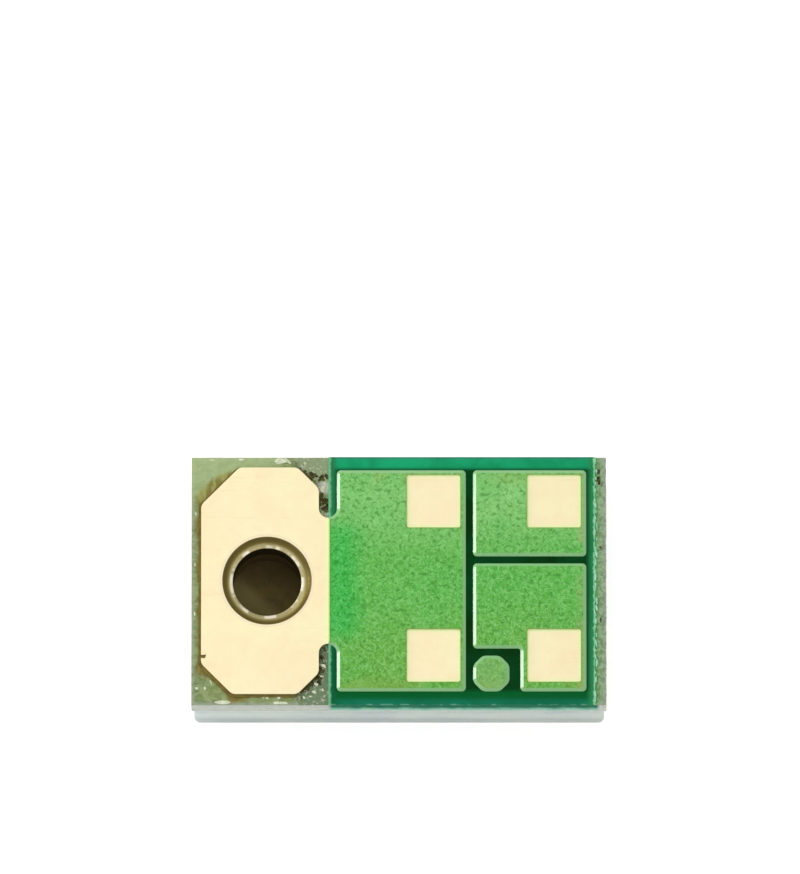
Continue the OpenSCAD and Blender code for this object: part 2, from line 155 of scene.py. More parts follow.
class Workpiece:
    """A mesh on the bench, in millimetres."""

    def __init__(self, name: str) -> None:
        """Takes the active object, with its place and size applied.

        Args:
            name: Name of the piece.
        """
        bpy.ops.object.transform_apply(location=True, rotation=True, scale=True)
        self.obj = bpy.context.active_object
        self.obj.name = self.obj.data.name = name

    @classmethod
    def block(cls, name: str, low: Sequence[float], high: Sequence[float]) -> "Workpiece":
        """Starts from a cube between two corners.

        Args:
            name: Name of the piece.
            low: Lowest corner.
            high: Highest corner.

        Returns:
            The new workpiece.
        """
        bpy.ops.object.select_all(action="DESELECT")
        size = Vector(high) - Vector(low)
        bpy.ops.mesh.primitive_cube_add(size=1.0, location=Vector(low) + size / 2, scale=size)
        return cls(name)

    @classmethod
    def turned(cls, name: str, axis: Point, profile: Sequence[tuple[float, float]],
               sides: int = 128) -> "Workpiece":
        """Builds a ring or a plug from circles that are extruded and resized one by one.

        Args:
            name: Name of the piece.
            axis: A point on the axis, which runs along Z.
            profile: Radius and height of each circle, in order round the section.
            sides: Number of sides of the circles.

        Returns:
            The new workpiece, closed.
        """
        bpy.ops.object.select_all(action="DESELECT")
        radius, z = profile[0]
        bpy.ops.mesh.primitive_circle_add(vertices=sides, radius=radius, location=(axis[0], axis[1], z))
        piece = cls(name)
        bpy.ops.object.mode_set(mode="EDIT")
        bpy.ops.mesh.select_mode(type="EDGE")
        bpy.ops.mesh.select_all(action="SELECT")
        for next_radius, next_z in profile[1:]:
            bpy.ops.mesh.extrude_region_move(TRANSFORM_OT_translate={"value": (0, 0, next_z - z)})
            share = next_radius / radius
            bpy.ops.transform.resize(value=(share, share, 1), center_override=(axis[0], axis[1], next_z))
            radius, z = next_radius, next_z
        bpy.ops.mesh.select_mode(type="EDGE")
        bpy.ops.mesh.select_all(action="DESELECT")
        bpy.ops.mesh.select_non_manifold(extend=False)
        bpy.ops.mesh.bridge_edge_loops()
        return piece.done().close()

    @classmethod
    def pebble(cls, name: str, place: Sequence[float], size: Sequence[float], seed: int,
               rough: float = 0.12, turn: float = 0.0) -> "Workpiece":
        """Makes an irregular grain from an icosphere.

        Args:
            name: Name of the grain.
            place: Its middle.
            size: Its length, width and height.
            seed: Seed of its shape.
            rough: How far its points stray, as a share of its length or width, whichever is less.
            turn: How far it is turned about the vertical, in radians.

        Returns:
            The new workpiece.
        """
        bpy.ops.object.select_all(action="DESELECT")
        bpy.ops.mesh.primitive_ico_sphere_add(subdivisions=2, radius=0.5, location=place, scale=size)
        piece = cls(name)
        bpy.ops.object.mode_set(mode="EDIT")
        bpy.ops.mesh.select_all(action="SELECT")
        bpy.ops.transform.vertex_random(offset=rough * min(size[0], size[1]), seed=seed)
        bpy.ops.transform.rotate(value=turn, orient_axis="Z", center_override=place)
        return piece.done()

    def activate(self) -> None:
        """Selects this piece alone and makes it active."""
        bpy.ops.object.select_all(action="DESELECT")
        self.obj.select_set(True)
        bpy.context.view_layer.objects.active = self.obj

    def choose(self, part: Part, test: Test) -> int:
        """Selects what passes a test and nothing else, in edit mode.

        Args:
            part: What is selected.
            test: The test.

        Returns:
            How many items were selected.
        """
        self.activate()
        bpy.ops.object.mode_set(mode="EDIT")
        bpy.ops.mesh.select_mode(type=part.value)
        bpy.ops.mesh.select_all(action="DESELECT")
        mesh = bmesh.from_edit_mesh(self.obj.data)
        items = {Part.VERTS: mesh.verts, Part.EDGES: mesh.edges, Part.FACES: mesh.faces}[part]
        chosen = [item for item in items if test(item)]
        for item in chosen:
            item.select_set(True)
        bmesh.update_edit_mesh(self.obj.data)
        return len(chosen)

    def done(self) -> "Workpiece":
        """Leaves edit mode."""
        bpy.ops.object.mode_set(mode="OBJECT")
        return self

    def edit(self, part: Part, test: Test, tool: Callable[..., Any], **settings: Any) -> "Workpiece":
        """Uses an edit tool on what passes a test.

        Args:
            part: What is selected.
            test: The test.
            tool: The tool.
            **settings: The tool's settings.

        Returns:
            The piece itself.
        """
        if self.choose(part, test):
            tool(**settings)
        return self.done()

    def bevel(self, test: Test, width: float, segments: int = 1) -> "Workpiece":
        """Bevels the edges that pass a test."""
        return self.edit(Part.EDGES, test, bpy.ops.mesh.bevel, offset=width, segments=segments,
                         affect="EDGES")

    def inset(self, test: Test, thickness: float) -> "Workpiece":
        """Insets the faces that pass a test."""
        return self.edit(Part.FACES, test, bpy.ops.mesh.inset, thickness=thickness, depth=0)

    def shoulder(self, width: float, drop: float) -> "Workpiece":
        """Turns the border of the top face into a slope.

        Args:
            width: Width of the slope.
            drop: How far it falls.

        Returns:
            The piece itself.
        """
        top = max(vert.co.z for vert in self.obj.data.vertices)
        self.inset(looks_up, width)
        return self.edit(Part.VERTS, lambda v: near(v.co.z, top) and any(upright(e) for e in v.link_edges),
                         bpy.ops.transform.translate, value=(0, 0, -drop))

    def extrude(self, test: Test, shift: Point) -> "Workpiece":
        """Extrudes the faces that pass a test."""
        return self.edit(Part.FACES, test, bpy.ops.mesh.extrude_region_move,
                         TRANSFORM_OT_translate={"value": shift})

    def bisect(self, point: Point, normal: Point, clear: bool = False) -> "Workpiece":
        """Cuts through the whole piece at a plane.

        Args:
            point: A point on the plane.
            normal: Where the plane looks.
            clear: Whether what lies on that side is removed and the cut filled.

        Returns:
            The piece itself.
        """
        return self.edit(Part.FACES, anything, bpy.ops.mesh.bisect, plane_co=point, plane_no=normal,
                         clear_outer=clear, use_fill=clear, threshold=CLOSE / 10)

    def neck(self, test: Test, middle_y: float, half: float, shift: Point) -> "Workpiece":
        """Cuts a strip out of the faces that pass a test and draws it out.

        Args:
            test: Which faces the strip is drawn out of.
            middle_y: Middle of the strip.
            half: Half its width.
            shift: How far it is drawn out.

        Returns:
            The piece itself.
        """
        for y in (middle_y + half, middle_y - half):
            self.bisect((0, y, 0), (0, 1, 0))
        self.extrude(lambda face: test(face) and abs(middle(face).y - middle_y) < half, shift)
        return self.flatten()

    def subdivide(self, test: Test, cuts: int) -> "Workpiece":
        """Divides the edges that pass a test."""
        return self.edit(Part.EDGES, test, bpy.ops.mesh.subdivide, number_cuts=cuts)

    def flatten(self) -> "Workpiece":
        """Dissolves the edges between faces that lie in one plane."""
        return self.edit(Part.FACES, anything, bpy.ops.mesh.dissolve_limited, angle_limit=math.radians(0.5))

    def close(self) -> "Workpiece":
        """Merges doubles and turns the faces outwards.

        Returns:
            The piece itself.
        """
        self.choose(Part.VERTS, anything)
        bpy.ops.mesh.remove_doubles(threshold=CLOSE / 10)
        bpy.ops.mesh.normals_make_consistent(inside=False)
        return self.done()

    def apply(self, kind: str, **settings: Any) -> "Workpiece":
        """Adds a modifier and applies it.

        Args:
            kind: Its type.
            **settings: Its settings.

        Returns:
            The piece itself.
        """
        modifier = self.obj.modifiers.new("step", kind)
        for name, value in settings.items():
            setattr(modifier, name, value)
        self.activate()
        bpy.ops.object.modifier_apply(modifier=modifier.name)
        return self

    def roughen(self, test: Test, axis: str, depth: float, grain: float) -> "Workpiece":
        """Moves the vertices that pass a test unevenly along one axis.

        Args:
            test: Which vertices move.
            axis: X, Y or Z.
            depth: The furthest that a vertex moves, negative to move it down the axis.
            grain: Size of the unevenness.

        Returns:
            The piece itself.
        """
        self.choose(Part.VERTS, test)
        group = self.obj.vertex_groups.new(name="rough")
        bpy.ops.object.vertex_group_assign()
        self.done()
        texture = bpy.data.textures.new("rough", "CLOUDS")
        texture.noise_scale = grain
        texture.noise_depth = 3
        self.apply("DISPLACE", texture=texture, texture_coords="LOCAL", direction=axis, mid_level=0.0,
                   strength=depth, vertex_group=group.name)
        self.obj.vertex_groups.clear()
        return self

    def combine(self, other: "Workpiece", operation: str) -> "Workpiece":
        """Joins another solid to this one, or cuts it away.

        Args:
            other: The other solid, which is used up.
            operation: UNION or DIFFERENCE.

        Returns:
            The piece itself.
        """
        self.apply("BOOLEAN", operation=operation, solver="EXACT", object=other.obj)
        bpy.data.objects.remove(other.obj, do_unlink=True)
        return self

    def add(self, other: "Workpiece") -> "Workpiece":
        """Joins another solid to this one."""
        return self.combine(other, "UNION")

    def cut(self, other: "Workpiece") -> "Workpiece":
        """Cuts another solid out of this one."""
        return self.combine(other, "DIFFERENCE")

    def finish(self, material: bpy.types.Material, slot: Slot, replaces: Sequence[str] = (),
               smooth: float = 35.0) -> None:
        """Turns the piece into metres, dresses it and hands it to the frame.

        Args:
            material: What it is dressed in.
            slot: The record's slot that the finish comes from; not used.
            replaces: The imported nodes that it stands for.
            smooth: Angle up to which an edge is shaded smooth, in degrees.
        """
        self.obj.scale = (MM, MM, MM)
        self.activate()
        bpy.ops.object.transform_apply(location=True, rotation=True, scale=True)
        bpy.ops.object.shade_smooth_by_angle(angle=math.radians(smooth))
        self.obj.data.materials.clear()
        self.obj.data.materials.append(material)
        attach(self.obj, "root")
        if replaces:
            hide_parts(*replaces)
        log.info("%s: %d faces", self.obj.name, len(self.obj.data.polygons))


def gathered(name: str, pieces: Sequence[Workpiece]) -> Workpiece:
    """Puts loose pieces in one mesh.

    Args:
        name: Name of the whole.
        pieces: The pieces.

    Returns:
        The first piece, which holds them all.
    """
    whole = pieces[0]
    whole.activate()
    for piece in pieces:
        piece.obj.select_set(True)
    bpy.ops.object.join()
    whole.obj.name = name
    return whole


class Field:
    """A value or a colour at each place, which is reckoned with as a plain number is."""

    def __init__(self, graph: "Graph", socket: bpy.types.NodeSocket) -> None:
        """Takes the graph and the socket that the value comes from."""
        self.graph = graph
        self.socket = socket

    def math(self, operation: str, other: Any = 0.0) -> "Field":
        """Works out one operation with another value."""
        return self.graph.value("ShaderNodeMath", {0: self, 1: other}, operation=operation)

    def __add__(self, other: Any) -> "Field":
        """Adds a value."""
        return self.math("ADD", other)

    def __sub__(self, other: Any) -> "Field":
        """Takes a value away."""
        return self.math("SUBTRACT", other)

    def __mul__(self, other: Any) -> "Field":
        """Multiplies by a value."""
        return self.math("MULTIPLY", other)

    def __truediv__(self, other: Any) -> "Field":
        """Divides by a value."""
        return self.math("DIVIDE", other)

    def __abs__(self) -> "Field":
        """Drops the sign."""
        return self.math("ABSOLUTE")

    def most(self, other: Any) -> "Field":
        """Gives the greater of two values."""
        return self.math("MAXIMUM", other)

    def step(self, start: float, end: float) -> "Field":
        """Goes smoothly from 0 to 1.

        Args:
            start: Where it is 0.
            end: Where it is 1, above or below the start.

        Returns:
            The smooth step.
        """
        ends = {"From Min": min(start, end), "From Max": max(start, end),
                "To Min": float(end < start), "To Max": float(end > start)}
        return self.graph.value("ShaderNodeMapRange", {"Value": self, **ends},
                                interpolation_type="SMOOTHSTEP")

    def spread(self, low: float, high: float) -> "Field":
        """Spreads a value of 0 to 1 between two others."""
        return self.graph.value("ShaderNodeMapRange", {"Value": self, "To Min": low, "To Max": high})

    def tint(self, share: Any, colour: Any) -> "Field":
        """Mixes a share of another colour into this one."""
        return self.graph.mix(share, self, colour)


class Graph:
    """Adds nodes to one tree, and links or sets their inputs."""

    def __init__(self, tree: bpy.types.NodeTree) -> None:
        """Takes the tree."""
        self.tree = tree

    def feed(self, node: bpy.types.Node, inputs: dict[Any, Any]) -> None:
        """Links or sets inputs of a node.

        Args:
            node: The node.
            inputs: A field to link or a value to set for each input.
        """
        for key, value in inputs.items():
            if isinstance(value, Field):
                self.tree.links.new(value.socket, node.inputs[key])
            else:
                node.inputs[key].default_value = value

    def add(self, kind: str, inputs: dict[Any, Any], **settings: Any) -> bpy.types.Node:
        """Adds a node.

        Args:
            kind: Its type.
            inputs: A field to link or a value to set for each input.
            **settings: The node's own settings.

        Returns:
            The node.
        """
        node = self.tree.nodes.new(kind)
        for name, value in settings.items():
            setattr(node, name, value)
        self.feed(node, inputs)
        return node

    def value(self, kind: str, inputs: dict[Any, Any], out: int | str = 0, **settings: Any) -> Field:
        """Adds a node and gives one of its outputs."""
        return Field(self, self.add(kind, inputs, **settings).outputs[out])

    def group(self, tree: bpy.types.NodeTree, **inputs: Any) -> list[Field]:
        """Places a node group and gives its outputs."""
        node = self.add("ShaderNodeGroup", inputs, node_tree=tree)
        return [Field(self, socket) for socket in node.outputs]

    def bench(self, shift: Point = (0, 0, 0), stretch: Point = (1, 1, 1)) -> Field:
        """Gives Object coordinates in millimetres.

        Args:
            shift: How far they are shifted.
            stretch: How much they are stretched along each axis.

        Returns:
            The coordinates.
        """
        source = self.value("ShaderNodeTexCoord", {}, "Object")
        scale = tuple(value / MM for value in stretch)
        return self.value("ShaderNodeMapping", {"Vector": source, "Location": shift, "Scale": scale})

    def mix(self, share: Any, a: Any, b: Any) -> Field:
        """Mixes two colours, each a field or a display colour."""
        a, b = (end if isinstance(end, Field) else srgb(end) for end in (a, b))
        return self.value("ShaderNodeMix", {0: share, 6: a, 7: b}, 2, data_type="RGBA")

    def noise(self, place: Field, scale: Any = 1.0, detail: float = 3.0, rough: float = 0.5,
              twist: float = 0.0) -> Field:
        """Gives a cloudy noise of 0 to 1."""
        return self.value("ShaderNodeTexNoise", {
            "Vector": place, "Scale": scale, "Detail": detail, "Roughness": rough, "Distortion": twist})


def new_group(name: str, **inputs: float | None) -> tuple[Graph, list[Field]]:
    """Starts a node group.

    Args:
        name: Its name.
        **inputs: First value of each input, or None for a vector.

    Returns:
        The group's graph, and its inputs as fields.
    """
    tree = bpy.data.node_groups.new(name, "ShaderNodeTree")
    for key, value in inputs.items():
        kind = "NodeSocketVector" if value is None else "NodeSocketFloat"
        socket = tree.interface.new_socket(name=key, in_out="INPUT", socket_type=kind)
        if value is not None:
            socket.default_value = value
    node = tree.nodes.new("NodeGroupInput")
    graph = Graph(tree)
    return graph, [Field(graph, node.outputs[key]) for key in inputs]


def end_group(graph: Graph, **outputs: Field) -> bpy.types.NodeTree:
    """Gives a node group its outputs.

    Args:
        graph: The group's graph.
        **outputs: The value of each output.

    Returns:
        The group.
    """
    for key in outputs:
        graph.tree.interface.new_socket(name=key, in_out="OUTPUT", socket_type="NodeSocketFloat")
    graph.feed(graph.tree.nodes.new("NodeGroupOutput"), outputs)
    return graph.tree


class Effects:
    """The node groups that several finishes share, each built once."""

    def __init__(self) -> None:
        """Builds the groups."""
        self.grain = self._grain()
        self.squiggles = self._squiggles()
        self.scratches = self._scratches()
        self.blotches = self._blotches()

    def _grain(self) -> bpy.types.NodeTree:
        """Builds a crystalline grain, as copper shows through a coating.

        Returns:
            The group.
        """
        graph, (place, scale) = new_group("Grain", Place=None, Scale=20.0)
        strokes = graph.noise(place, scale, 5.0, 0.75, 1.4)
        cells = graph.value("ShaderNodeTexVoronoi", {"Vector": place, "Scale": scale * 1.3}, "Distance",
                            feature="F1")
        mixed = strokes + cells * 0.35
        return end_group(graph, Light=mixed.step(0.42, 0.9), Height=mixed)

    def _squiggles(self) -> bpy.types.NodeTree:
        """Builds short bright wavy lines and dark specks, as of rough copper under a clear coat.

        Returns:
            The group.
        """
        graph, (place, scale) = new_group("Squiggles", Place=None, Scale=12.0)
        ridge = abs(graph.noise(place, scale, 1.0, 0.5, 1.2) - 0.5)
        fine = graph.noise(place, scale * 1.6, 1.0, 0.5, 0.4)
        return end_group(graph, Lines=ridge.step(0.07, 0.005), Specks=fine.step(0.46, 0.33))

    def _scratches(self) -> bpy.types.NodeTree:
        """Builds faint hair lines along X.

        Returns:
            The group.
        """
        graph, (place, amount) = new_group("Scratches", Place=None, Amount=0.5)
        stretched = graph.value("ShaderNodeMapping", {"Vector": place, "Scale": (0.8, 30.0, 30.0)})
        thin = graph.noise(stretched, 1.4, 3.0, 0.6).step(0.56, 0.72)
        patchy = graph.noise(place, 2.2, 2.0).step(0.4, 0.65)
        return end_group(graph, Lines=thin * patchy * amount)

    def _blotches(self) -> bpy.types.NodeTree:
        """Builds soft large spots, as of a stain or uneven plating."""
        graph, (place, scale) = new_group("Blotches", Place=None, Scale=2.0)
        return end_group(graph, Spots=graph.noise(place, scale, 4.0, 0.6, 0.4).step(0.38, 0.66))


class Surface(Graph):
    """The graph of one material, with the place and the grain that its finish reads."""

    def __init__(self, tree: bpy.types.NodeTree, effects: Effects, grain: float) -> None:
        """Adds the nodes that every finish reads.

        Args:
            tree: The material's tree.
            effects: The shared node groups.
            grain: Grains in a millimetre.
        """
        super().__init__(tree)
        self.effects = effects
        self.place = self.bench()
        split = self.add("ShaderNodeSeparateXYZ", {0: self.place})
        self.x, self.y, self.z = (Field(self, socket) for socket in split.outputs)
        self.light, self.height = self.group(effects.grain, Place=self.place, Scale=grain)

    def spots(self, scale: float, shift: Point = (0, 0, 0)) -> Field:
        """Gives soft large spots of 0 to 1."""
        return self.group(self.effects.blotches, Place=self.bench(shift), Scale=scale)[0]

    def threads(self, stretch: Point, detail: float = 3.0, rough: float = 0.5, twist: float = 0.0) -> Field:
        """Gives a noise that is drawn out along the axes of least stretch."""
        return self.noise(self.bench(stretch=stretch), 1.0, detail, rough, twist)

    def beyond(self, sides: Sequence[Side]) -> Field:
        """Gives how far a place lies outside a form with straight sides.

        Args:
            sides: For each side, where it looks along and across, and how far out it lies.

        Returns:
            The distance, negative inside.
        """
        runs = [self.x * along + self.y * across - out for along, across, out in sides]
        reach = runs[0]
        for run in runs[1:]:
            reach = reach.most(run)
        return reach


@dataclass(frozen=True)
class Finish:
    """A material of one colour range, with grain, blotches and a little relief.

    Args:
        name: Name of the material.
        dark: Colour in its low spots.
        light: Colour in its high spots.
        metallic: Share of metal.
        roughness: Lowest and highest roughness.
        grain: Grains in a millimetre.
        relief: Depth of the relief in millimetres.
        shine: Strength of the mirror-like reflection where it isn't a metal.
    """

    name: str
    dark: Rgb
    light: Rgb
    metallic: float = 0.0
    roughness: tuple[float, float] = (0.35, 0.55)
    grain: float = 20.0
    relief: float = 0.002
    shine: float = 0.5

    def colour(self, on: Surface) -> Field:
        """Gives the colour at each place; special finishes have their own."""
        return on.mix(on.light, self.dark, self.light)

    def coat(self, on: Surface) -> dict[str, Any]:
        """Gives the shader's inputs for a clear coat; most finishes have none."""
        return {}

    def build(self, effects: Effects) -> bpy.types.Material:
        """Builds the material.

        Args:
            effects: The shared node groups.

        Returns:
            The material.
        """
        material = bpy.data.materials.new(self.name)
        material.use_nodes = True
        on = Surface(material.node_tree, effects, self.grain)
        relief = {"Height": on.height, "Distance": self.relief * MM, "Strength": 1.0}
        on.feed(material.node_tree.nodes["Principled BSDF"], {
            "Metallic": self.metallic, "Specular IOR Level": self.shine, "Base Color": self.colour(on),
            "Roughness": on.light.spread(*self.roughness), "Normal": on.value("ShaderNodeBump", relief),
            **self.coat(on)})
        return material


@dataclass(frozen=True)
class PadGrid:
    """Places of the four square pads, in millimetres.

    Args:
        along: Middle of the four along the board.
        across: Middle of the four across it.
        gap_x: Half their spacing along the board.
        gap_y: Half their spacing across it.
        half: Half the side of a pad.
    """

    along: float = 0.8565
    across: float = 0.02
    gap_x: float = 0.545
    gap_y: float = 0.7095
    half: float = 0.2425

    def outside(self, on: Surface) -> Field:
        """Gives how far a place lies outside the nearest pad, negative on a pad."""
        off_x = abs(abs(on.x - self.along) - self.gap_x) - self.half
        return off_x.most(abs(abs(on.y - self.across) - self.gap_y) - self.half)


@dataclass(frozen=True)
class GoldFinish(Finish):
    """Matte plated gold with faint stains and scratches, and painted shade on its flanks below its top,
    painted brown as their steep sides reflect dark.

    Args:
        top: Height of its top face.
        flank_shade: Painted shade on its flanks and on its foot, a brown that stands in for the dark that
            their steep sides reflect.
        mask: Where the mask begins along the board.
        pads: Places of the pads.
        nick: Middle and reach of the stain in the nick of the land's edge.
    """

    top: float = 1.085
    flank_shade: Rgb = (128, 114, 44)
    mask: float = -0.639
    pads: PadGrid = PadGrid()
    nick: tuple[float, float, float] = (-1.77, -0.698, 0.03)

    def rim(self, on: Surface) -> Field:
        """Finds the gold right beside the mask, which takes a green tint from it.

        Args:
            on: The surface.

        Returns:
            1 beside the mask, 0 elsewhere.
        """
        out = self.pads.outside(on)
        neck = on.x.step(self.mask - 0.05, self.mask - 0.004) * on.x.step(self.mask + 0.05, self.mask + 0.02)
        return (out.step(-0.04, -0.004) * out.step(0.02, 0.01)).most(neck)

    def colour(self, on: Surface) -> Field:
        """Mottles the gold, and paints shade on what lies under its top.

        Args:
            on: The surface.

        Returns:
            The colour.
        """
        at_x, at_y, reach = self.nick
        away = abs(on.x - at_x).most(abs(on.y - at_y) * 1.6) + on.noise(on.place, 34.0, 2.0, 0.6) * 0.05
        lines = on.group(on.effects.scratches, Place=on.place, Amount=0.5)[0]
        gold = on.mix(on.spots(1.6) * 0.6, self.light, self.dark)
        gold = gold.tint(on.spots(2.6, (3.1, 1.7, 0.0)) * 0.4, (254, 226, 184))
        gold = gold.tint(on.light * 0.12, (246, 238, 206))
        gold = gold.tint(lines * 0.3, (222, 198, 156))
        gold = gold.tint(self.rim(on) * 0.75, (236, 250, 184))
        gold = gold.tint(away.step(reach + 0.025, reach + 0.01), (104, 88, 34))
        # painted shade: the flanks and foot under the top are painted brown
        return gold.tint(on.z.step(self.top - 0.0015, self.top - 0.004),
                         on.mix(on.light, (96, 78, 24), self.flank_shade))


@dataclass(frozen=True)
class PlatingFinish(Finish):
    """The port's plating: gold where it meets the land, brown and pale rings down to the lip.

    Args:
        axis: Place of the port along the board.
        lip: Height of the flat lip.
        rings: Radius of the pale ring of painted highlight, of the brown ring of painted shade and of the
            land's edge.
        glint: Half the height of the bright spot on the lip, on the side of the mask.
    """

    axis: float = -1.195
    lip: float = 1.015
    rings: tuple[float, float, float] = (0.336, 0.375, 0.403)
    glint: float = 0.055

    def glint_arcs(self, on: Surface, across: Field, radius: Field) -> Field:
        """Finds the painted glints along the lip, and the painted glint on the side of the mask.

        Args:
            on: The surface.
            across: Distance from the port's axis along the board.
            radius: Distance from the axis.

        Returns:
            1 on a painted glint, 0 elsewhere.
        """
        pale = self.rings[0]
        way = on.value("ShaderNodeCombineXYZ", {0: across / radius, 1: on.y / radius, 2: 3.7})
        spot = across.step(0.2, 0.26) * abs(on.y).step(self.glint, self.glint * 0.6)
        glint_arcs = on.noise(way, 2.7, 2.0).step(0.44, 0.58).most(spot)
        return glint_arcs * radius.step(pale + 0.008, pale - 0.006)

    def colour(self, on: Surface) -> Field:
        """Colours the plating by its distance from the axis, with painted shade in the cove and painted
        highlight at the lip, and paints shade down the bore by its depth.

        Args:
            on: The surface.

        Returns:
            The colour.
        """
        across = on.x - self.axis
        radius = (across * across + on.y * on.y).math("SQRT")
        pale, brown, land = self.rings
        # painted shade and light: pale at the lip as painted highlight, brown and olive on the steep cove as
        # painted shade
        cove = on.mix(radius.step(pale, brown - 0.008), self.light, self.dark)
        cove = cove.tint(radius.step(brown + 0.006, land), (166, 150, 92))
        cove = cove.tint(on.spots(4.0) * 0.3, (112, 98, 44))
        cove = cove.tint(self.glint_arcs(on, across, radius) * 0.85, (240, 232, 208))
        cove = cove.tint(radius.step(land - 0.002, land + 0.003), (240, 226, 188))
        # painted shade: the bore is painted dark below the lip
        return on.mix(on.z.step(self.lip - 0.014, self.lip - 0.002), (48, 40, 20), cove)


@dataclass(frozen=True)
class MaskFinish(Finish):
    """Green solder mask: dark and clear on laminate, light and streaky over copper.

    Args:
        low: Height of its face on the laminate.
        high: Height of its face over copper.
        side: Half the width of the board.
        left: Where it begins along the board.
        right: Where it ends along the board.
        pads: Places of the pads.
        neck: Half the width of the neck.
        gloss: Share of clear coat on flat faces and on slopes.
    """

    low: float = 1.075
    high: float = 1.1
    side: float = 1.14
    left: float = -0.639
    right: float = 1.782
    pads: PadGrid = PadGrid()
    neck: float = 0.575
    gloss: tuple[float, float] = (0.03, 1.0)

    def slope(self, on: Surface) -> Field:
        """Finds the slopes at the borders of the lands, which lie between the two faces."""
        rising = on.z.step(self.low + 0.0012, self.low + 0.003)
        return rising * on.z.step(self.high - 0.0003, self.high - 0.0015)

    def coat(self, on: Surface) -> dict[str, Any]:
        """Lays a clear coat on the slopes, and little of it on the flat faces."""
        return {"Coat Weight": self.slope(on).spread(*self.gloss), "Coat Roughness": 0.2, "Coat IOR": 1.6}

    def on_laminate(self, on: Surface, cloud: Field, grit: Field) -> Field:
        """Colours the mask where only laminate lies under it, lighter near the board's edges: the lighter
        strips along the board's edges and ends are partly thinner mask and partly painted light, the pale
        lines along the mask's ends are partly thin mask and partly painted highlight, and the darkest green
        between the lands is partly painted shade.

        Args:
            on: The surface.
            cloud: Large spots.
            grit: Fine noise.

        Returns:
            The colour.
        """
        x, y, left, right = on.x, on.y, self.left, self.right
        top, bottom = self.side, -self.side
        wander = x + (grit - 0.5) * 0.05
        highlight_dashes = on.threads((15.0, 3.0, 3.0)).step(0.5, 0.62)
        # painted light: the strip along the +Y edge is painted lighter teal; the dark green elsewhere is
        # partly painted shade between the lands
        green = on.mix(y.step(top - 0.13, top - 0.085), (0, 50, 4), (28, 170, 114))
        green = green.tint(y.step(top - 0.04, top), (54, 146, 118))
        # painted light: lighter strips along the -Y edge and at both ends of the mask
        green = green.tint(y.step(bottom + 0.16, bottom + 0.1), (0, 96, 40))
        green = green.tint(y.step(bottom + 0.085, bottom + 0.02), (20, 120, 88))
        green = green.tint(x.step(right - 0.1, right - 0.03), (48, 142, 86))
        green = green.tint(cloud * 0.35, (0, 90, 46))
        green = green.tint(x.step(left + 0.1, left + 0.03),
                           on.mix(y.step(0.3, -0.3), (42, 124, 78), (14, 98, 58)))
        # painted highlight, partly thin mask: pale lines along the mask's near end, its -Y edge and its far
        # end
        green = green.tint(wander.step(left + 0.034, left + 0.008) * 0.9, (120, 196, 148))
        green = green.tint(y.step(bottom + 0.014, bottom + 0.002) * highlight_dashes * 0.3, (150, 214, 188))
        return green.tint((x + grit * 0.05).step(right - 0.004, right + 0.008), (132, 208, 158))

    def over_copper(self, on: Surface, cloud: Field) -> Field:
        """Colours the mask over copper: streaky, emerald by the neck and olive at the borders.

        Args:
            on: The surface.
            cloud: Large spots.

        Returns:
            The colour.
        """
        x, y, left, away = on.x, on.y, self.left, abs(on.y)
        lines, specks = on.group(on.effects.squiggles, Place=on.place, Scale=17.0)
        upper, lower = y.step(0.1, 0.8), y.step(-0.1, -0.8)
        dark = on.mix(upper, (88, 168, 68), (120, 186, 100)).tint(lower, (94, 160, 60))
        pale = on.mix(upper, (114, 198, 92), (152, 216, 132)).tint(lower, (124, 190, 84))
        border = away.step(0.84, 1.0).most(x.step(left + 0.2, left + 0.09) * away.step(self.neck, 0.7))
        emerald = x.step(left + 0.4, left + 0.14) * away.step(self.neck + 0.05, self.neck - 0.16)
        mottled = on.mix(lines * 0.7, (62, 184, 76), (104, 214, 116)).tint(specks * 0.75, (34, 144, 48))
        test_land = y.step(-0.6, -0.7) * (x.step(0.5, 0.6) * x.step(1.08, 1.02))
        green = on.mix(on.light, dark, pale)
        green = green.tint(cloud * 0.35, (84, 182, 80))
        green = green.tint(lines * 0.5, (152, 222, 134))
        green = green.tint(specks * 0.55, (64, 138, 48))
        green = green.tint(border * cloud.step(0.75, 0.1) * 0.4, (140, 170, 76))
        green = green.tint(x.step(1.59, 1.64) * cloud.step(1.0, 0.3) * 0.45, (172, 186, 126))
        green = green.tint(emerald * 0.85, mottled)
        return green.tint(test_land * 0.25, (154, 196, 140))

    def colour(self, on: Surface) -> Field:
        """Chooses the colour by height. The slopes over the lands' borders are painted paler, partly as
        thinner mask and partly as painted highlight; an olive ring is drawn round each pad opening, and an
        olive band and a pale line along the neck's edge over the gold, the pale line partly the mask's thin
        lip and partly painted highlight.

        Args:
            on: The surface.

        Returns:
            The colour.
        """
        cloud = on.spots(2.4)
        grit = on.noise(on.place, 24.0, 3.0, 0.7)
        raised = on.z.step(self.low + 0.0012, self.low + 0.006)
        ring = self.pads.outside(on).step(0.02, 0.0) * raised
        neck = raised * abs(on.y).step(self.neck, self.neck - 0.01)
        green = self.on_laminate(on, cloud, grit).tint(raised, self.over_copper(on, cloud))
        # painted highlight, partly thin mask: the slopes are painted paler
        green = green.tint(self.slope(on) * 0.8, (152, 210, 146))
        green = green.tint(ring * 0.5, (138, 158, 72))
        green = green.tint(neck * on.x.step(self.left + 0.034, self.left + 0.02) * 0.5, (112, 150, 74))
        # painted highlight, partly the mask's thin lip: the pale line along the neck's edge over the gold
        return green.tint(neck * on.x.step(self.left + 0.014, self.left + 0.006), (214, 238, 170))


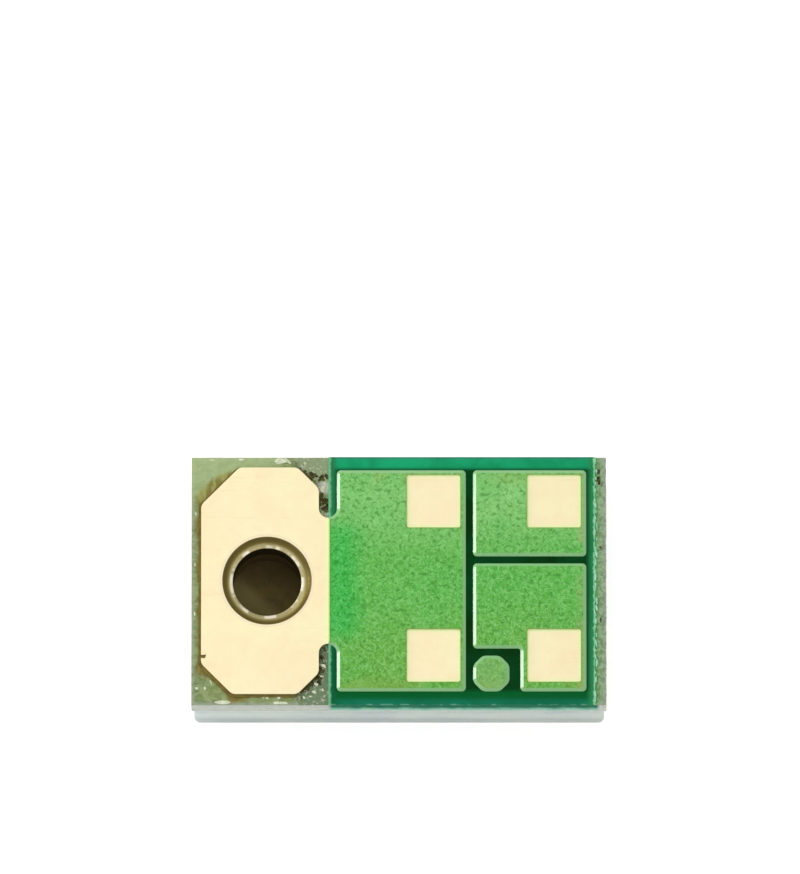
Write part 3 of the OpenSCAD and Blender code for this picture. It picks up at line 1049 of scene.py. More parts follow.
@dataclass(frozen=True)
class LaminateFinish(Finish):
    """Bare glass laminate: grey-green with fibres on its face, pale and layered at its edges.

    Args:
        top: Height of its face.
        pitch: Thickness of one layer of glass cloth.
        outer: The port land's sides that look away from the mask.
        inner: The port land's sides that look towards the mask.
    """

    top: float = 1.055
    pitch: float = 0.062
    outer: tuple[Side, ...] = ()
    inner: tuple[Side, ...] = ()

    def face(self, on: Surface, grit: Field) -> Field:
        """Colours the face: fibres, a pale border and the strip beyond the mask.

        Args:
            on: The surface.
            grit: Fine noise.

        Returns:
            The colour.
        """
        x, y, spots = on.x, on.y, on.spots(4.0)
        end = x.step(1.79, 1.86)
        strip = on.mix(grit.step(0.35, 0.65), on.mix(end, (106, 150, 96), (128, 144, 114)),
                       on.mix(end, (142, 192, 136), (170, 186, 156)))
        border = abs(x).step(1.835, 1.876).most(abs(y).step(1.095, 1.134))
        fibres = on.threads((15.0, 22.0, 22.0), 4.0, 0.7, 0.5)
        face = on.mix(fibres.step(0.36, 0.66), self.dark, self.light)
        face = face.tint(spots * 0.4, (158, 170, 104))
        face = face.tint(x.step(1.6, 1.7), strip)
        face = face.tint(border * grit.step(0.26, 0.55) * 0.6, (170, 178, 162))
        face = face.tint(y.step(0.6, 0.95) * x.step(-1.0, -1.2) * 0.6, (182, 202, 146))
        return self.torn(on, self.stained(on, face, spots, grit), grit)

    def stained(self, on: Surface, face: Field, spots: Field, grit: Field) -> Field:
        """Stains the face brown by the land, and wider by its two outer chamfers.

        Args:
            on: The surface.
            face: The colour so far.
            spots: Large spots.
            grit: Fine noise.

        Returns:
            The colour.
        """
        x, y = on.x, on.y
        lower = y.step(-0.72, -0.92) * x.step(-1.3, -1.5)
        upper = y.step(0.66, 0.8) * x.step(-1.3, -1.45)
        wander = (spots - 0.5) * 0.07 + lower.most(upper) * -0.045
        near_land = (on.beyond(self.outer) + wander).step(0.052, 0.006)
        streaks = on.threads((30.0, 7.0, 10.0), 3.0, 0.6).step(0.4, 0.62)
        brown = on.mix(grit.step(0.35, 0.65), (112, 96, 34), (150, 132, 70))
        brown = brown.tint(upper, on.mix(streaks, (128, 112, 40), (164, 162, 88)))
        return face.tint(near_land * (x.step(-0.9, -0.95) * y.step(1.04, 0.98)) * 0.8, brown)

    def torn(self, on: Surface, face: Field, grit: Field) -> Field:
        """Darkens and whitens ragged spots between the land and the mask.

        Args:
            on: The surface.
            face: The colour so far.
            grit: Fine noise.

        Returns:
            The colour.
        """
        x, y = on.x, on.y
        inside = x.step(-0.99, -0.86) * x.step(-0.5, -0.62)
        ragged = on.noise(on.bench((0.7, 0.4, 0.0)), 19.0, 5.0, 0.8, 0.6)
        dark = (ragged - on.beyond(self.inner) * 2.2).step(0.39, 0.45)
        patch = y.step(0.79, 0.83) * (y.step(0.93, 0.89) * (x.step(-0.75, -0.7) * inside))
        face = face.tint(inside * 0.85, on.mix(y.step(-0.2, -0.6), (144, 160, 124), (108, 130, 102)))
        face = face.tint(dark * inside, (76, 72, 36))
        face = face.tint(grit.step(0.56, 0.66) * inside * 0.85, (206, 202, 184))
        return face.tint(patch * 0.75, (206, 204, 192))

    def edge(self, on: Surface) -> Field:
        """Colours the sawn edges: layers of glass, greener where the mask ends above them.

        Args:
            on: The surface.

        Returns:
            The colour.
        """
        layers = (on.z * (2 * math.pi / self.pitch)).math("SINE")
        mixed = layers * 0.22 + on.threads((16.0, 16.0, 40.0), 3.0, 0.6)
        height = on.z + (on.threads((7.0, 7.0, 3.0), 3.0, 0.6) - 0.5) * 0.16
        under_mask = on.x.step(-0.65, -0.6) * on.x.step(1.82, 1.78)
        glass = on.mix(mixed.step(0.3, 0.75), (172, 178, 166), (218, 222, 214))
        teal = on.mix(height.step(0.79, 0.91), (150, 204, 184), (60, 156, 122))
        teal = teal.tint(height.step(0.88, 0.99), (8, 102, 74))
        teal = teal.tint(mixed.step(0.35, 0.8) * height.step(0.98, 0.86) * 0.35, glass)
        return glass.tint(under_mask * height.step(0.72, 0.84), teal)

    def colour(self, on: Surface) -> Field:
        """Colours the face, the edges and the pits by height.

        Args:
            on: The surface.

        Returns:
            The colour.
        """
        grit = on.noise(on.place, 30.0, 3.0, 0.7)
        below = on.z.step(self.top - 0.001, self.top - 0.006)
        outer = abs(on.x).step(1.82, 1.85).most(abs(on.y).step(1.09, 1.12))
        pit = on.mix(on.light, (56, 56, 28), (112, 112, 72))
        return self.face(on, grit).tint(below, pit.tint(outer, self.edge(on)))


@dataclass(frozen=True)
class LidFinish(Finish):
    """Drawn sheet metal: mottled, with draw lines up its walls and a pale woven brush on its face; its walls
    carry painted shade and a band of painted reflection.
    """

    def colour(self, on: Surface) -> Field:
        """Colours the walls, darker than the face as painted shade, with a lighter band of painted
        reflection at mid height and a darker band of painted shade towards the bend; and the flat outer
        face.

        Args:
            on: The surface.

        Returns:
            The colour.
        """
        z, spots = on.z, on.spots(1.3)
        lines = on.threads((60.0, 60.0, 2.0), 2.0).step(0.5, 0.8)
        weave = on.threads((6.0, 70.0, 3.0), 2.0) + on.threads((70.0, 6.0, 3.0), 2.0)
        metal = on.mix(on.light, self.dark, self.light)
        metal = metal.tint(spots * 0.35, (208, 214, 194))
        # painted reflection: a lighter band at mid height; painted shade: a darker band towards the bend
        metal = metal.tint(z.step(0.24, 0.38) * z.step(0.6, 0.44) * 0.3, (204, 210, 204))
        metal = metal.tint(z.step(0.04, 0.14) * z.step(0.3, 0.2) * 0.3, (148, 152, 150))
        metal = metal.tint(lines * (z.step(0.02, 0.1) * 0.12), (150, 156, 152))
        face = on.mix(weave.step(0.8, 1.2), (216, 217, 209), (226, 227, 219))
        return metal.tint(z.step(0.04, 0.008), face.tint(spots * 0.2, (218, 214, 200)))


@dataclass(frozen=True)
class DiaphragmFinish(Finish):
    """Thin polysilicon, with a painted pool of light on one side of a slanting line and painted shade
    towards +Y.
    """

    def colour(self, on: Surface) -> Field:
        """Paints light on the film to one side of a line across the port, and paints shade on it towards +Y.

        Args:
            on: The surface.

        Returns:
            The colour.
        """
        film = on.mix(on.light, self.dark, self.light)
        # painted light: a paler pool on the lower side of a slanting line
        film = film.tint((on.x + on.y).step(-1.18, -1.36), (150, 136, 82))
        # painted shade: darker towards +Y, where the bore's wall shades it
        return film.tint(on.y.step(0.0, 0.24) * 0.5, (64, 48, 22))


@dataclass
class Board:
    """The laminate, its edges, its pits and its chips.

    Args:
        saw_depth: How ragged the far end is.
        side_depth: How rough the other sides are.
        saw_grain: Size of the roughness at the far end.
        end_grain: Size of the roughness at the near end.
        side_grain: Size of the roughness along the two long sides.
        cuts: Divisions of each side of the board.
        rim: Width of the strip that the roughness of the sides reaches into.
        bites: Grains that each pit is cut with.
    """

    saw_depth: float = 0.012
    side_depth: float = 0.002
    saw_grain: float = 0.035
    end_grain: float = 0.05
    side_grain: float = 0.06
    cuts: int = 90
    rim: float = 0.05
    bites: int = 3

    def build(self, port: "SoundPort", laminate: bpy.types.Material, chip: bpy.types.Material) -> None:
        """Models the board and the pale chips that lie on it.

        Args:
            port: The port, which cuts through the laminate.
            laminate: Dress of the board.
            chip: Dress of the chips.
        """
        low, high = corners("board_core")
        board = Workpiece.block("laminate_board", low, high)
        board.inset(looks_up, self.rim).inset(looks_down, self.rim)
        board.subdivide(lambda e: on_wall(e, high) and not upright(e), self.cuts)
        board.roughen(lambda v: near(v.co.x, high.x), "X", -self.saw_depth, self.saw_grain)
        board.roughen(lambda v: near(v.co.x, low.x), "X", self.side_depth, self.end_grain)
        board.roughen(lambda v: near(v.co.y, high.y), "Y", -self.side_depth, self.side_grain)
        board.roughen(lambda v: near(v.co.y, low.y), "Y", self.side_depth, self.side_grain)
        board.cut(port.cutter())
        for grain in self.pits(high.z):
            board.cut(grain)
        board.finish(laminate, Slot.LAMINATE, ["board_core"], smooth=25)
        gathered("laminate_chips", self.chips(high.z)).finish(chip, Slot.LAMINATE)

    def pits(self, top: float) -> Iterable[Workpiece]:
        """Makes the grains that leave the etched and torn pits beside the port land.

        Args:
            top: Height of the laminate's face.

        Yields:
            The grains, one by one.
        """
        places = [(-0.773, 0.972, 0.05, 0.2), (-0.72, 0.95, 0.05, 2.6), (-0.677, 0.965, 0.045, 0.9),
                  (-0.697, 0.776, 0.045, 1.5), (-0.672, 0.721, 0.06, 2.0), (-0.66, 0.655, 0.055, 2.3),
                  (-0.692, -0.676, 0.055, 0.8), (-0.668, -0.635, 0.04, 0.4), (-0.742, -0.868, 0.06, 0.9),
                  (-0.7, -0.83, 0.045, 0.3), (-0.832, -0.968, 0.055, 0.8), (-0.785, -0.935, 0.045, 1.2),
                  (-0.716, -0.935, 0.04, 0.0), (1.818, 1.0, 0.04, 1.5), (1.824, 0.92, 0.05, 1.7),
                  (1.83, -0.35, 0.035, 1.2), (1.825, 0.3, 0.03, 0.4)]
        for seed, (x, y, size, turn) in enumerate(places, start=1):
            draw = random.Random(seed)
            for part in range(self.bites):
                at = (x + draw.uniform(-0.5, 0.5) * size, y + draw.uniform(-0.5, 0.5) * size, top)
                long = size * draw.uniform(0.6, 1.4)
                wide = long * draw.uniform(0.4, 0.9)
                yield Workpiece.pebble("pit", at, (long, wide, size * 0.7), seed * 10 + part, rough=0.16,
                                       turn=turn + draw.uniform(-0.6, 0.6))

    def chips(self, top: float) -> list[Workpiece]:
        """Models the pale specks and torn fibres on the bare laminate.

        Args:
            top: Height of the laminate's face.

        Returns:
            The chips.
        """
        places = [(-1.0625, 1.104, 0.15, 0.05, 0.0), (-1.0, 1.098, 0.05, 0.03, 0.6),
                  (-1.69, 1.115, 0.05, 0.02, 0.1), (-1.43, 1.118, 0.06, 0.018, -0.1),
                  (-0.85, 1.085, 0.035, 0.02, 0.9), (-1.596, -1.112, 0.15, 0.035, 0.05),
                  (-1.07, -1.12, 0.14, 0.026, 0.0), (-1.235, -1.062, 0.05, 0.024, 0.7),
                  (-1.195, -1.07, 0.03, 0.02, 0.2), (-1.09, -1.065, 0.036, 0.03, 0.0),
                  (-1.83, -0.986, 0.034, 0.02, 0.3), (-1.755, -0.986, 0.03, 0.02, 1.3),
                  (-1.7, -0.93, 0.045, 0.018, 1.2), (-0.685, -0.78, 0.05, 0.026, 0.7),
                  (-0.7, -0.875, 0.034, 0.02, 0.2), (-0.75, -0.95, 0.04, 0.024, 0.5),
                  (-0.768, -1.02, 0.045, 0.02, 0.3), (-0.69, -1.0, 0.03, 0.02, 1.0),
                  (-0.8, -1.06, 0.035, 0.018, 0.0), (-0.86, -1.07, 0.03, 0.02, 0.8),
                  (-1.84, 0.62, 0.03, 0.014, 1.4), (-1.85, -0.3, 0.04, 0.014, 1.5),
                  (-1.848, 0.15, 0.035, 0.014, 1.6), (-0.688, 0.845, 0.07, 0.045, 1.4),
                  (-0.675, 0.9, 0.03, 0.02, 0.4)]
        return [Workpiece.pebble("flake", (x, y, top), (long, wide, wide * 0.5), seed, rough=0.32, turn=turn)
                for seed, (x, y, long, wide, turn) in enumerate(places, start=40)]


@dataclass
class SoundPort:
    """The plated hole through the board.

    Args:
        bore: Radius of the open port.
        plating: Thickness of the plating.
        cove: Radius of the cove round the mouth.
        soft: Rounding of the lip's inner edge.
        steps: Steps along the cove's quarter arc.
        core: Radius of the plug's first circle, which can't be nothing.
    """

    bore: float = 0.31
    plating: float = 0.025
    cove: float = 0.07
    soft: float = 0.006
    steps: int = 10
    core: float = 0.001

    def __post_init__(self) -> None:
        """Reads the port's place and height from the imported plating."""
        low, high = corners("barrel_plating")
        self.axis = ((low.x + high.x) / 2, 0.0, high.z)
        self.low, self.high = low.z, high.z
        self.hole = self.bore + self.plating

    def arc(self, radius: float) -> list[tuple[float, float]]:
        """Follows a quarter arc from over the hole's wall out to the land."""
        turns = [math.pi / 2 * i / self.steps for i in range(self.steps + 1)]
        return [(self.hole + radius * math.sin(turn), self.high - radius * math.cos(turn)) for turn in turns]

    def cutter(self) -> Workpiece:
        """Makes the plug that the hole and its cove are cut with."""
        outer = self.arc(self.cove + self.plating)
        return Workpiece.turned("port_cutter", self.axis, [
            (self.core, self.low - CLEAR), (self.hole, self.low - CLEAR), *outer,
            (outer[-1][0], self.high + CLEAR), (self.core, self.high + CLEAR)])

    def build(self, plating: bpy.types.Material) -> None:
        """Models the sleeve, the lip and the cove.

        Args:
            plating: Dress of the plating.
        """
        inner = self.arc(self.cove)
        outer = self.arc(self.cove + self.plating)
        lip = inner[0][1]
        profile = [(self.bore, self.low), (self.bore, lip - self.soft),
                   (self.bore + self.soft * 0.3, lip - self.soft * 0.3), (self.bore + self.soft, lip),
                   *inner, *reversed(outer), (self.hole, self.low)]
        Workpiece.turned("port_sleeve", self.axis, profile).finish(
            plating, Slot.PLATING, ["barrel_plating"], smooth=40)


@dataclass
class PortLand:
    """The bare gold land round the port, with its foot, which the gold's finish paints amber as shade.

    Args:
        upper: Chamfer at the outer corner on the output side.
        lower: Chamfer at the other outer corner.
        inner: Chamfer at the inner corners.
        neck: Half the width of the neck to the ground plane.
        reach: How far the neck runs past the land.
        slot: Radius of the round end of the slot beside the neck.
        slot_steps: Steps along that round end.
        stain_gap: How far from the land the stain on the output side lies.
        slot_shift: How far the slot's middle lies outside the mask.
        plating: Thickness of the finish.
        foot: Reach of the foot past the land.
        foot_height: Height of the foot.
        foot_shift: How far the foot is set off along and across the board.
        foot_end: How far along the board the foot reaches.
        round_edge: Rounding of the top edge.
        corner: How much of each side the rounding of a corner takes.
        corner_steps: Steps round a corner.
        nick: Place along and across the board, length and depth of a nick in the land's edge.
    """

    upper: float = 0.345
    lower: float = 0.28
    inner: float = 0.195
    neck: float = 0.575
    reach: float = 0.2
    slot: float = 0.0895
    slot_steps: int = 10
    stain_gap: float = 0.05
    slot_shift: float = 0.002
    plating: float = 0.005
    foot: float = 0.011
    foot_height: float = 0.012
    foot_shift: tuple[float, float] = (-0.012, -0.012)
    foot_end: float = -0.94
    round_edge: float = 0.003
    corner: float = 0.03
    corner_steps: int = 3
    nick: tuple[float, float, float, float] = (-1.77, -0.703, 0.06, 0.0035)

    def __post_init__(self) -> None:
        """Reads the copper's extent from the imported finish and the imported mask."""
        low, high = corners("port_land_finish")
        self.left = low.x + self.plating
        self.side = high.y - self.plating
        self.right = corners("solder_mask")[0].x - self.slot_shift - self.slot

    def outer_sides(self) -> tuple[Side, ...]:
        """Gives the sides that look away from the mask, for the stain beside them.

        Returns:
            The sides.
        """
        upper = (-SLANT, SLANT, SLANT * (self.side - self.left - self.upper))
        lower = (-SLANT, -SLANT, SLANT * (self.side - self.left - self.lower))
        beside = (0.0, 1.0, self.side + self.stain_gap)
        return (-1.0, 0.0, -self.left), beside, (0.0, -1.0, self.side), upper, lower

    def inner_sides(self) -> tuple[Side, ...]:
        """Gives the sides that look towards the mask, for the torn spots beside them."""
        out = SLANT * (self.side + self.right - self.inner)
        return (1.0, 0.0, self.right), (SLANT, SLANT, out), (SLANT, -SLANT, out)

    def outline(self, name: str, grow: float, low_z: float, high_z: float,
                shift: tuple[float, float] = (0.0, 0.0)) -> Workpiece:
        """Makes a slab with the land's outline.

        Args:
            name: Name of the slab.
            grow: How much larger it is than the copper.
            low_z: Its underside.
            high_z: Its top.
            shift: How far it is set off along and across the board.

        Returns:
            The slab, which runs past the mask's edge.
        """
        left, right = self.left - grow + shift[0], self.right + grow + shift[0]
        side, neck, move = self.side + grow, self.neck + grow, shift[1]
        slab = Workpiece.block(name, (left, move - side, low_z), (right, move + side, high_z))
        slab.bevel(lambda e: upright(e) and near(middle(e).x, left) and middle(e).y > 0, self.upper)
        slab.bevel(lambda e: upright(e) and near(middle(e).x, left) and near(middle(e).y, move - side),
                   self.lower)
        slab.bevel(lambda e: upright(e) and near(middle(e).x, right), self.inner)
        slab.bevel(upright, self.corner, self.corner_steps)
        slab.neck(lambda f: f.normal.x > 0.9, move, neck, (self.reach, 0, 0))
        return slab.bevel(lambda e: upright(e) and near(middle(e).x, right)
                          and near(abs(middle(e).y - move), neck), self.slot - grow, self.slot_steps)

    def build(self, port: SoundPort, gold: bpy.types.Material) -> None:
        """Models the land.

        Args:
            port: The port, whose cove cuts the land.
            gold: Dress of the land.
        """
        low, high = corners("port_land_finish")
        copper_top = corners("ground_plane")[1].z
        land = self.outline("gold_port_land", self.plating, low.z, high.z)
        land.bevel(lambda e: level(e, high.z), self.round_edge, EDGE_STEPS)
        foot = self.outline("foot", self.plating + self.foot, low.z + CLOSE, low.z + self.foot_height,
                            self.foot_shift)
        land.add(foot.bisect((self.foot_end, 0, 0), (1, 0, 0), clear=True))
        land.cut(self.outline("copper", 0.0, low.z - CLEAR, copper_top))
        land.bisect((high.x, 0, 0), (1, 0, 0), clear=True)
        land.cut(port.cutter())
        x, y, long, deep = self.nick
        land.cut(Workpiece.pebble("nick", (x, y, high.z), (long, long * 0.5, deep * 2), seed=3, rough=0.02))
        land.finish(gold, Slot.GOLD, ["port_land_finish"], smooth=12)


@dataclass
class SolderPads:
    """The four gold pads in the openings of the mask.

    Args:
        corner: Radius of a pad's corners.
        steps: Steps round a corner.
        rim: Width of the rim that stands a little over the pad's middle.
        dish: Depth of the middle under the rim.
    """

    corner: float = 0.02
    steps: int = 4
    rim: float = 0.007
    dish: float = 0.0012

    def build(self, gold: bpy.types.Material) -> None:
        """Models the four pads.

        Args:
            gold: Dress of the pads.
        """
        for node in PADS:
            low, high = corners(node)
            place = (low + high) / 2
            pad = Workpiece.block(f"gold_{node}", low, high)
            pad.bevel(upright, self.corner, self.steps)
            pad.inset(looks_up, self.rim).inset(looks_up, self.rim)
            pad.extrude(lambda f: looks_up(f) and (middle(f).xy - place.xy).length < self.rim / 2,
                        (0, 0, -self.dish))
            pad.finish(gold, Slot.GOLD, [node], smooth=3)

    def opening(self, node: str, low_z: float, high_z: float) -> Workpiece:
        """Makes the plug that the mask's opening over one pad is cut with.

        Args:
            node: The pad's node.
            low_z: The plug's underside.
            high_z: Its top.

        Returns:
            The plug.
        """
        (left, front, _), (right, back, _) = corners(node)
        plug = Workpiece.block("opening", (left, front, low_z), (right, back, high_z))
        return plug.bevel(upright, self.corner, self.steps)


@dataclass
class MaskCoat:
    """The solder mask: a sheet on the laminate that climbs over each land.

    Args:
        pads: The pads, which the mask leaves open.
        side: Cover on the side of a land.
        sink: How far a land's cover starts above the laminate.
        corner: Corner radius of the lands.
        steps: Steps round a corner.
        notch: Radius of the supply land's inside corner.
        chamfer: Chamfer of the test land.
        soft: Rounding of the test land's corners.
        neck: Half the width of the neck.
        reach: How far the neck runs past the ground plane.
        slot: Radius of the round end of the slot beside the neck.
        slot_shift: How far the slot's middle lies outside the mask.
        land_gap: Gap between the supply land and the test land.
        leg_gap: Gap between the test land and the supply land's leg.
        slope: Width of the slope at a land's border.
        drop: How far the slope falls.
        rim: Width of the strip that the raggedness reaches into.
        cuts: Divisions of the far edge.
        ragged: How ragged the far edge is.
        grain: Size of that raggedness.
        scraps: Number of torn scraps along the far edge.
    """

    pads: SolderPads
    side: float = 0.012
    sink: float = 0.006
    corner: float = 0.025
    steps: int = 12
    notch: float = 0.012
    chamfer: float = 0.08
    soft: float = 0.03
    neck: float = 0.575
    reach: float = 0.2
    slot: float = 0.0895
    slot_shift: float = 0.002
    land_gap: float = 0.088
    leg_gap: float = 0.122
    slope: float = 0.03
    drop: float = 0.0235
    rim: float = 0.05
    cuts: int = 110
    ragged: float = 0.02
    grain: float = 0.02
    scraps: int = 34

    def cover(self, node: str, grow: float, low_z: float, high_z: float) -> Workpiece:
        """Makes a plain slab over a land's box."""
        low, high = corners(node)
        return Workpiece.block(node + "_cover", (low.x - grow, low.y - grow, low_z),
                               (high.x + grow, high.y + grow, high_z))

    def ground(self, grow: float, low_z: float, high_z: float) -> Workpiece:
        """Makes a slab over the masked ground plane and its neck.

        Args:
            grow: How much larger it is than the copper.
            low_z: Its underside.
            high_z: Its top.

        Returns:
            The slab.
        """
        y = corners("output_land")[1].y + grow
        right = corners("ground_plane")[1].x + grow
        left = corners("solder_mask")[0].x - self.slot_shift + self.slot - grow
        neck = self.neck + grow
        slab = Workpiece.block("ground", (left, -y, low_z), (right, y, high_z))
        slab.neck(lambda f: f.normal.x < -0.9, 0.0, neck, (-self.reach, 0, 0))
        slab.bevel(lambda e: upright(e) and near(abs(middle(e).y), y), self.corner + grow, self.steps)
        return slab.bevel(lambda e: upright(e) and near(middle(e).x, left)
                          and near(abs(middle(e).y), neck), self.slot - grow, self.steps)

    def output(self, grow: float, low_z: float, high_z: float) -> Workpiece:
        """Makes a slab over the output land."""
        return self.cover("output_land", grow, low_z, high_z).bevel(upright, self.corner + grow, self.steps)

    def supply(self, grow: float, low_z: float, high_z: float) -> Workpiece:
        """Makes a slab over the supply land, with its leg past the test land.

        Args:
            grow: How much larger it is than the copper.
            low_z: Its underside.
            high_z: Its top.

        Returns:
            The slab.
        """
        low, high = corners("supply_land")
        test_high = corners("test_land")[1]
        shelf = test_high.y + self.land_gap - grow
        leg = test_high.x + self.leg_gap - grow
        slab = Workpiece.block("supply", (low.x - grow, shelf, low_z),
                               (high.x + grow, high.y + grow, high_z))
        slab.bisect((leg, 0, 0), (1, 0, 0))
        slab.extrude(lambda f: f.normal.y < -0.9 and middle(f).x > leg, (0, low.y - grow - shelf, 0))
        slab.flatten()

        def notch(edge: bmesh.types.BMEdge) -> bool:
            """Tells whether an edge is the inside corner."""
            return upright(edge) and near(middle(edge).x, leg) and near(middle(edge).y, shelf)

        slab.bevel(lambda e: upright(e) and not notch(e), self.corner + grow, self.steps)
        return slab.bevel(notch, self.notch + grow, self.steps // 2)

    def test(self, grow: float, low_z: float, high_z: float) -> Workpiece:
        """Makes a slab over the eight-sided test land."""
        slab = self.cover("test_land", grow, low_z, high_z)
        return slab.bevel(upright, self.chamfer + 0.6 * grow).bevel(upright, self.soft, self.steps // 3)

    def build(self, green: bpy.types.Material, torn: bpy.types.Material) -> None:
        """Models the mask.

        Args:
            green: Dress of the mask.
            torn: Dress of the scraps along its far edge.
        """
        low, high = corners("solder_mask")
        copper_top = corners("output_land")[1].z
        sheet_top = low.z + high.z - copper_top
        makers = (self.ground, self.output, self.supply, self.test)
        mask = Workpiece.block("mask_coat", low, (high.x, high.y, sheet_top))
        mask.inset(looks_up, self.rim).inset(looks_down, self.rim)
        mask.subdivide(lambda e: near(middle(e).x, high.x) and not upright(e), self.cuts)
        mask.roughen(lambda v: near(v.co.x, high.x), "X", -self.ragged, self.grain)
        for make in makers:
            mask.add(make(self.side, low.z + self.sink, high.z).shoulder(self.slope, self.drop))
        for make in makers:
            mask.cut(make(0.0, low.z - CLEAR, copper_top))
        mask.cut(Workpiece.block("end", (low.x - 1, -2, 0), (low.x, 2, 2)))
        for node in PADS:
            mask.cut(self.pads.opening(node, copper_top - CLEAR / 10, high.z + CLEAR))
        mask.finish(green, Slot.MASK, ["solder_mask"], smooth=12)
        gathered("mask_scraps", self.tears(high, sheet_top)).finish(torn, Slot.MASK)

    def tears(self, high: Vector, top: float) -> list[Workpiece]:
        """Models the torn scraps along the mask's far edge.

        Args:
            high: Highest corner of the mask.
            top: Height of the sheet.

        Returns:
            The scraps.
        """
        scraps = []
        for index in range(self.scraps):
            draw = random.Random(index)
            y = high.y * (1.92 * index / (self.scraps - 1) - 0.96) + draw.uniform(-0.02, 0.02)
            long = draw.uniform(0.03, 0.09)
            wide = draw.uniform(0.012, 0.026)
            place = (high.x + draw.uniform(-0.016, 0.006), y, top - 0.006)
            scraps.append(Workpiece.pebble("scrap", place, (long, wide, 0.018), index + 90, rough=0.22,
                                           turn=math.pi / 2 + draw.uniform(-0.25, 0.25)))
        return scraps


@dataclass
class Lid:
    """The drawn metal can and the solder under its rim.

    Args:
        sheet: Thickness of the metal.
        bend: Outer radius of its bends and corners.
        inner_bend: Inner radius of its bends and corners.
        bend_steps: Steps round an outer bend.
        inner_steps: Steps round an inner bend.
        rim: Rounding of the rim's edges.
        rim_angle: Least angle of the edges that it rounds, in radians.
        bead: How far the solder reaches past the wall inside.
        seam_steps: Steps round a corner of the solder.
        soft: Rounding of the solder's edges.
        soft_angle: Least angle of the edges that it rounds, in radians.
    """

    sheet: float = 0.1
    bend: float = 0.05
    inner_bend: float = 0.04
    bend_steps: int = 10
    inner_steps: int = 6
    rim: float = 0.008
    rim_angle: float = 0.5
    bead: float = 0.04
    seam_steps: int = 8
    soft: float = 0.006
    soft_angle: float = 1.0

    def build(self, metal: bpy.types.Material, solder: bpy.types.Material) -> None:
        """Models the can and its seam.

        Args:
            metal: Dress of the can.
            solder: Dress of the seam.
        """
        low, high = corners("lid_can")
        floor = low.z + self.sheet
        can = Workpiece.block("drawn_lid", low, high)
        can.inset(looks_up, self.sheet)
        can.extrude(lambda f: looks_up(f) and middle(f).xy.length < self.sheet, (0, 0, floor - high.z))

        def inside(edge: bmesh.types.BMEdge) -> bool:
            """Tells whether an edge is an inner bend or corner."""
            at = middle(edge)
            return near(at.z, floor) or (upright(edge) and near(abs(at.x), high.x - self.sheet))

        can.bevel(lambda e: on_wall(e, high) and (upright(e) or near(middle(e).z, low.z)),
                  self.bend, self.bend_steps)
        can.bevel(inside, self.inner_bend, self.inner_steps)
        can.bevel(lambda e: level(e, high.z) and abs(e.calc_face_angle(0)) > self.rim_angle,
                  self.rim, EDGE_STEPS)
        can.finish(metal, Slot.LID, ["lid_can"], smooth=40)
        self.seam(solder)

    def seam(self, solder: bpy.types.Material) -> None:
        """Models the ring of solder between the rim and the board.

        Args:
            solder: Dress of the ring.
        """
        low, high = corners("lid_seam")
        ring = Workpiece.block("solder_seam", low, high)
        ring.bevel(upright, self.bend, self.seam_steps)
        width = self.sheet + self.bead
        hole = Workpiece.block("hole", (low.x + width, low.y + width, low.z - 1),
                               (high.x - width, high.y - width, high.z + 1))
        ring.cut(hole.bevel(upright, self.inner_bend, self.inner_steps))
        ring.subdivide(lambda e: upright(e) and on_wall(e, high), 1)
        ring.bevel(lambda e: not upright(e) and abs(e.calc_face_angle(0)) > self.soft_angle,
                   self.soft, EDGE_STEPS)
        ring.finish(solder, Slot.SOLDER, ["lid_seam"], smooth=50)


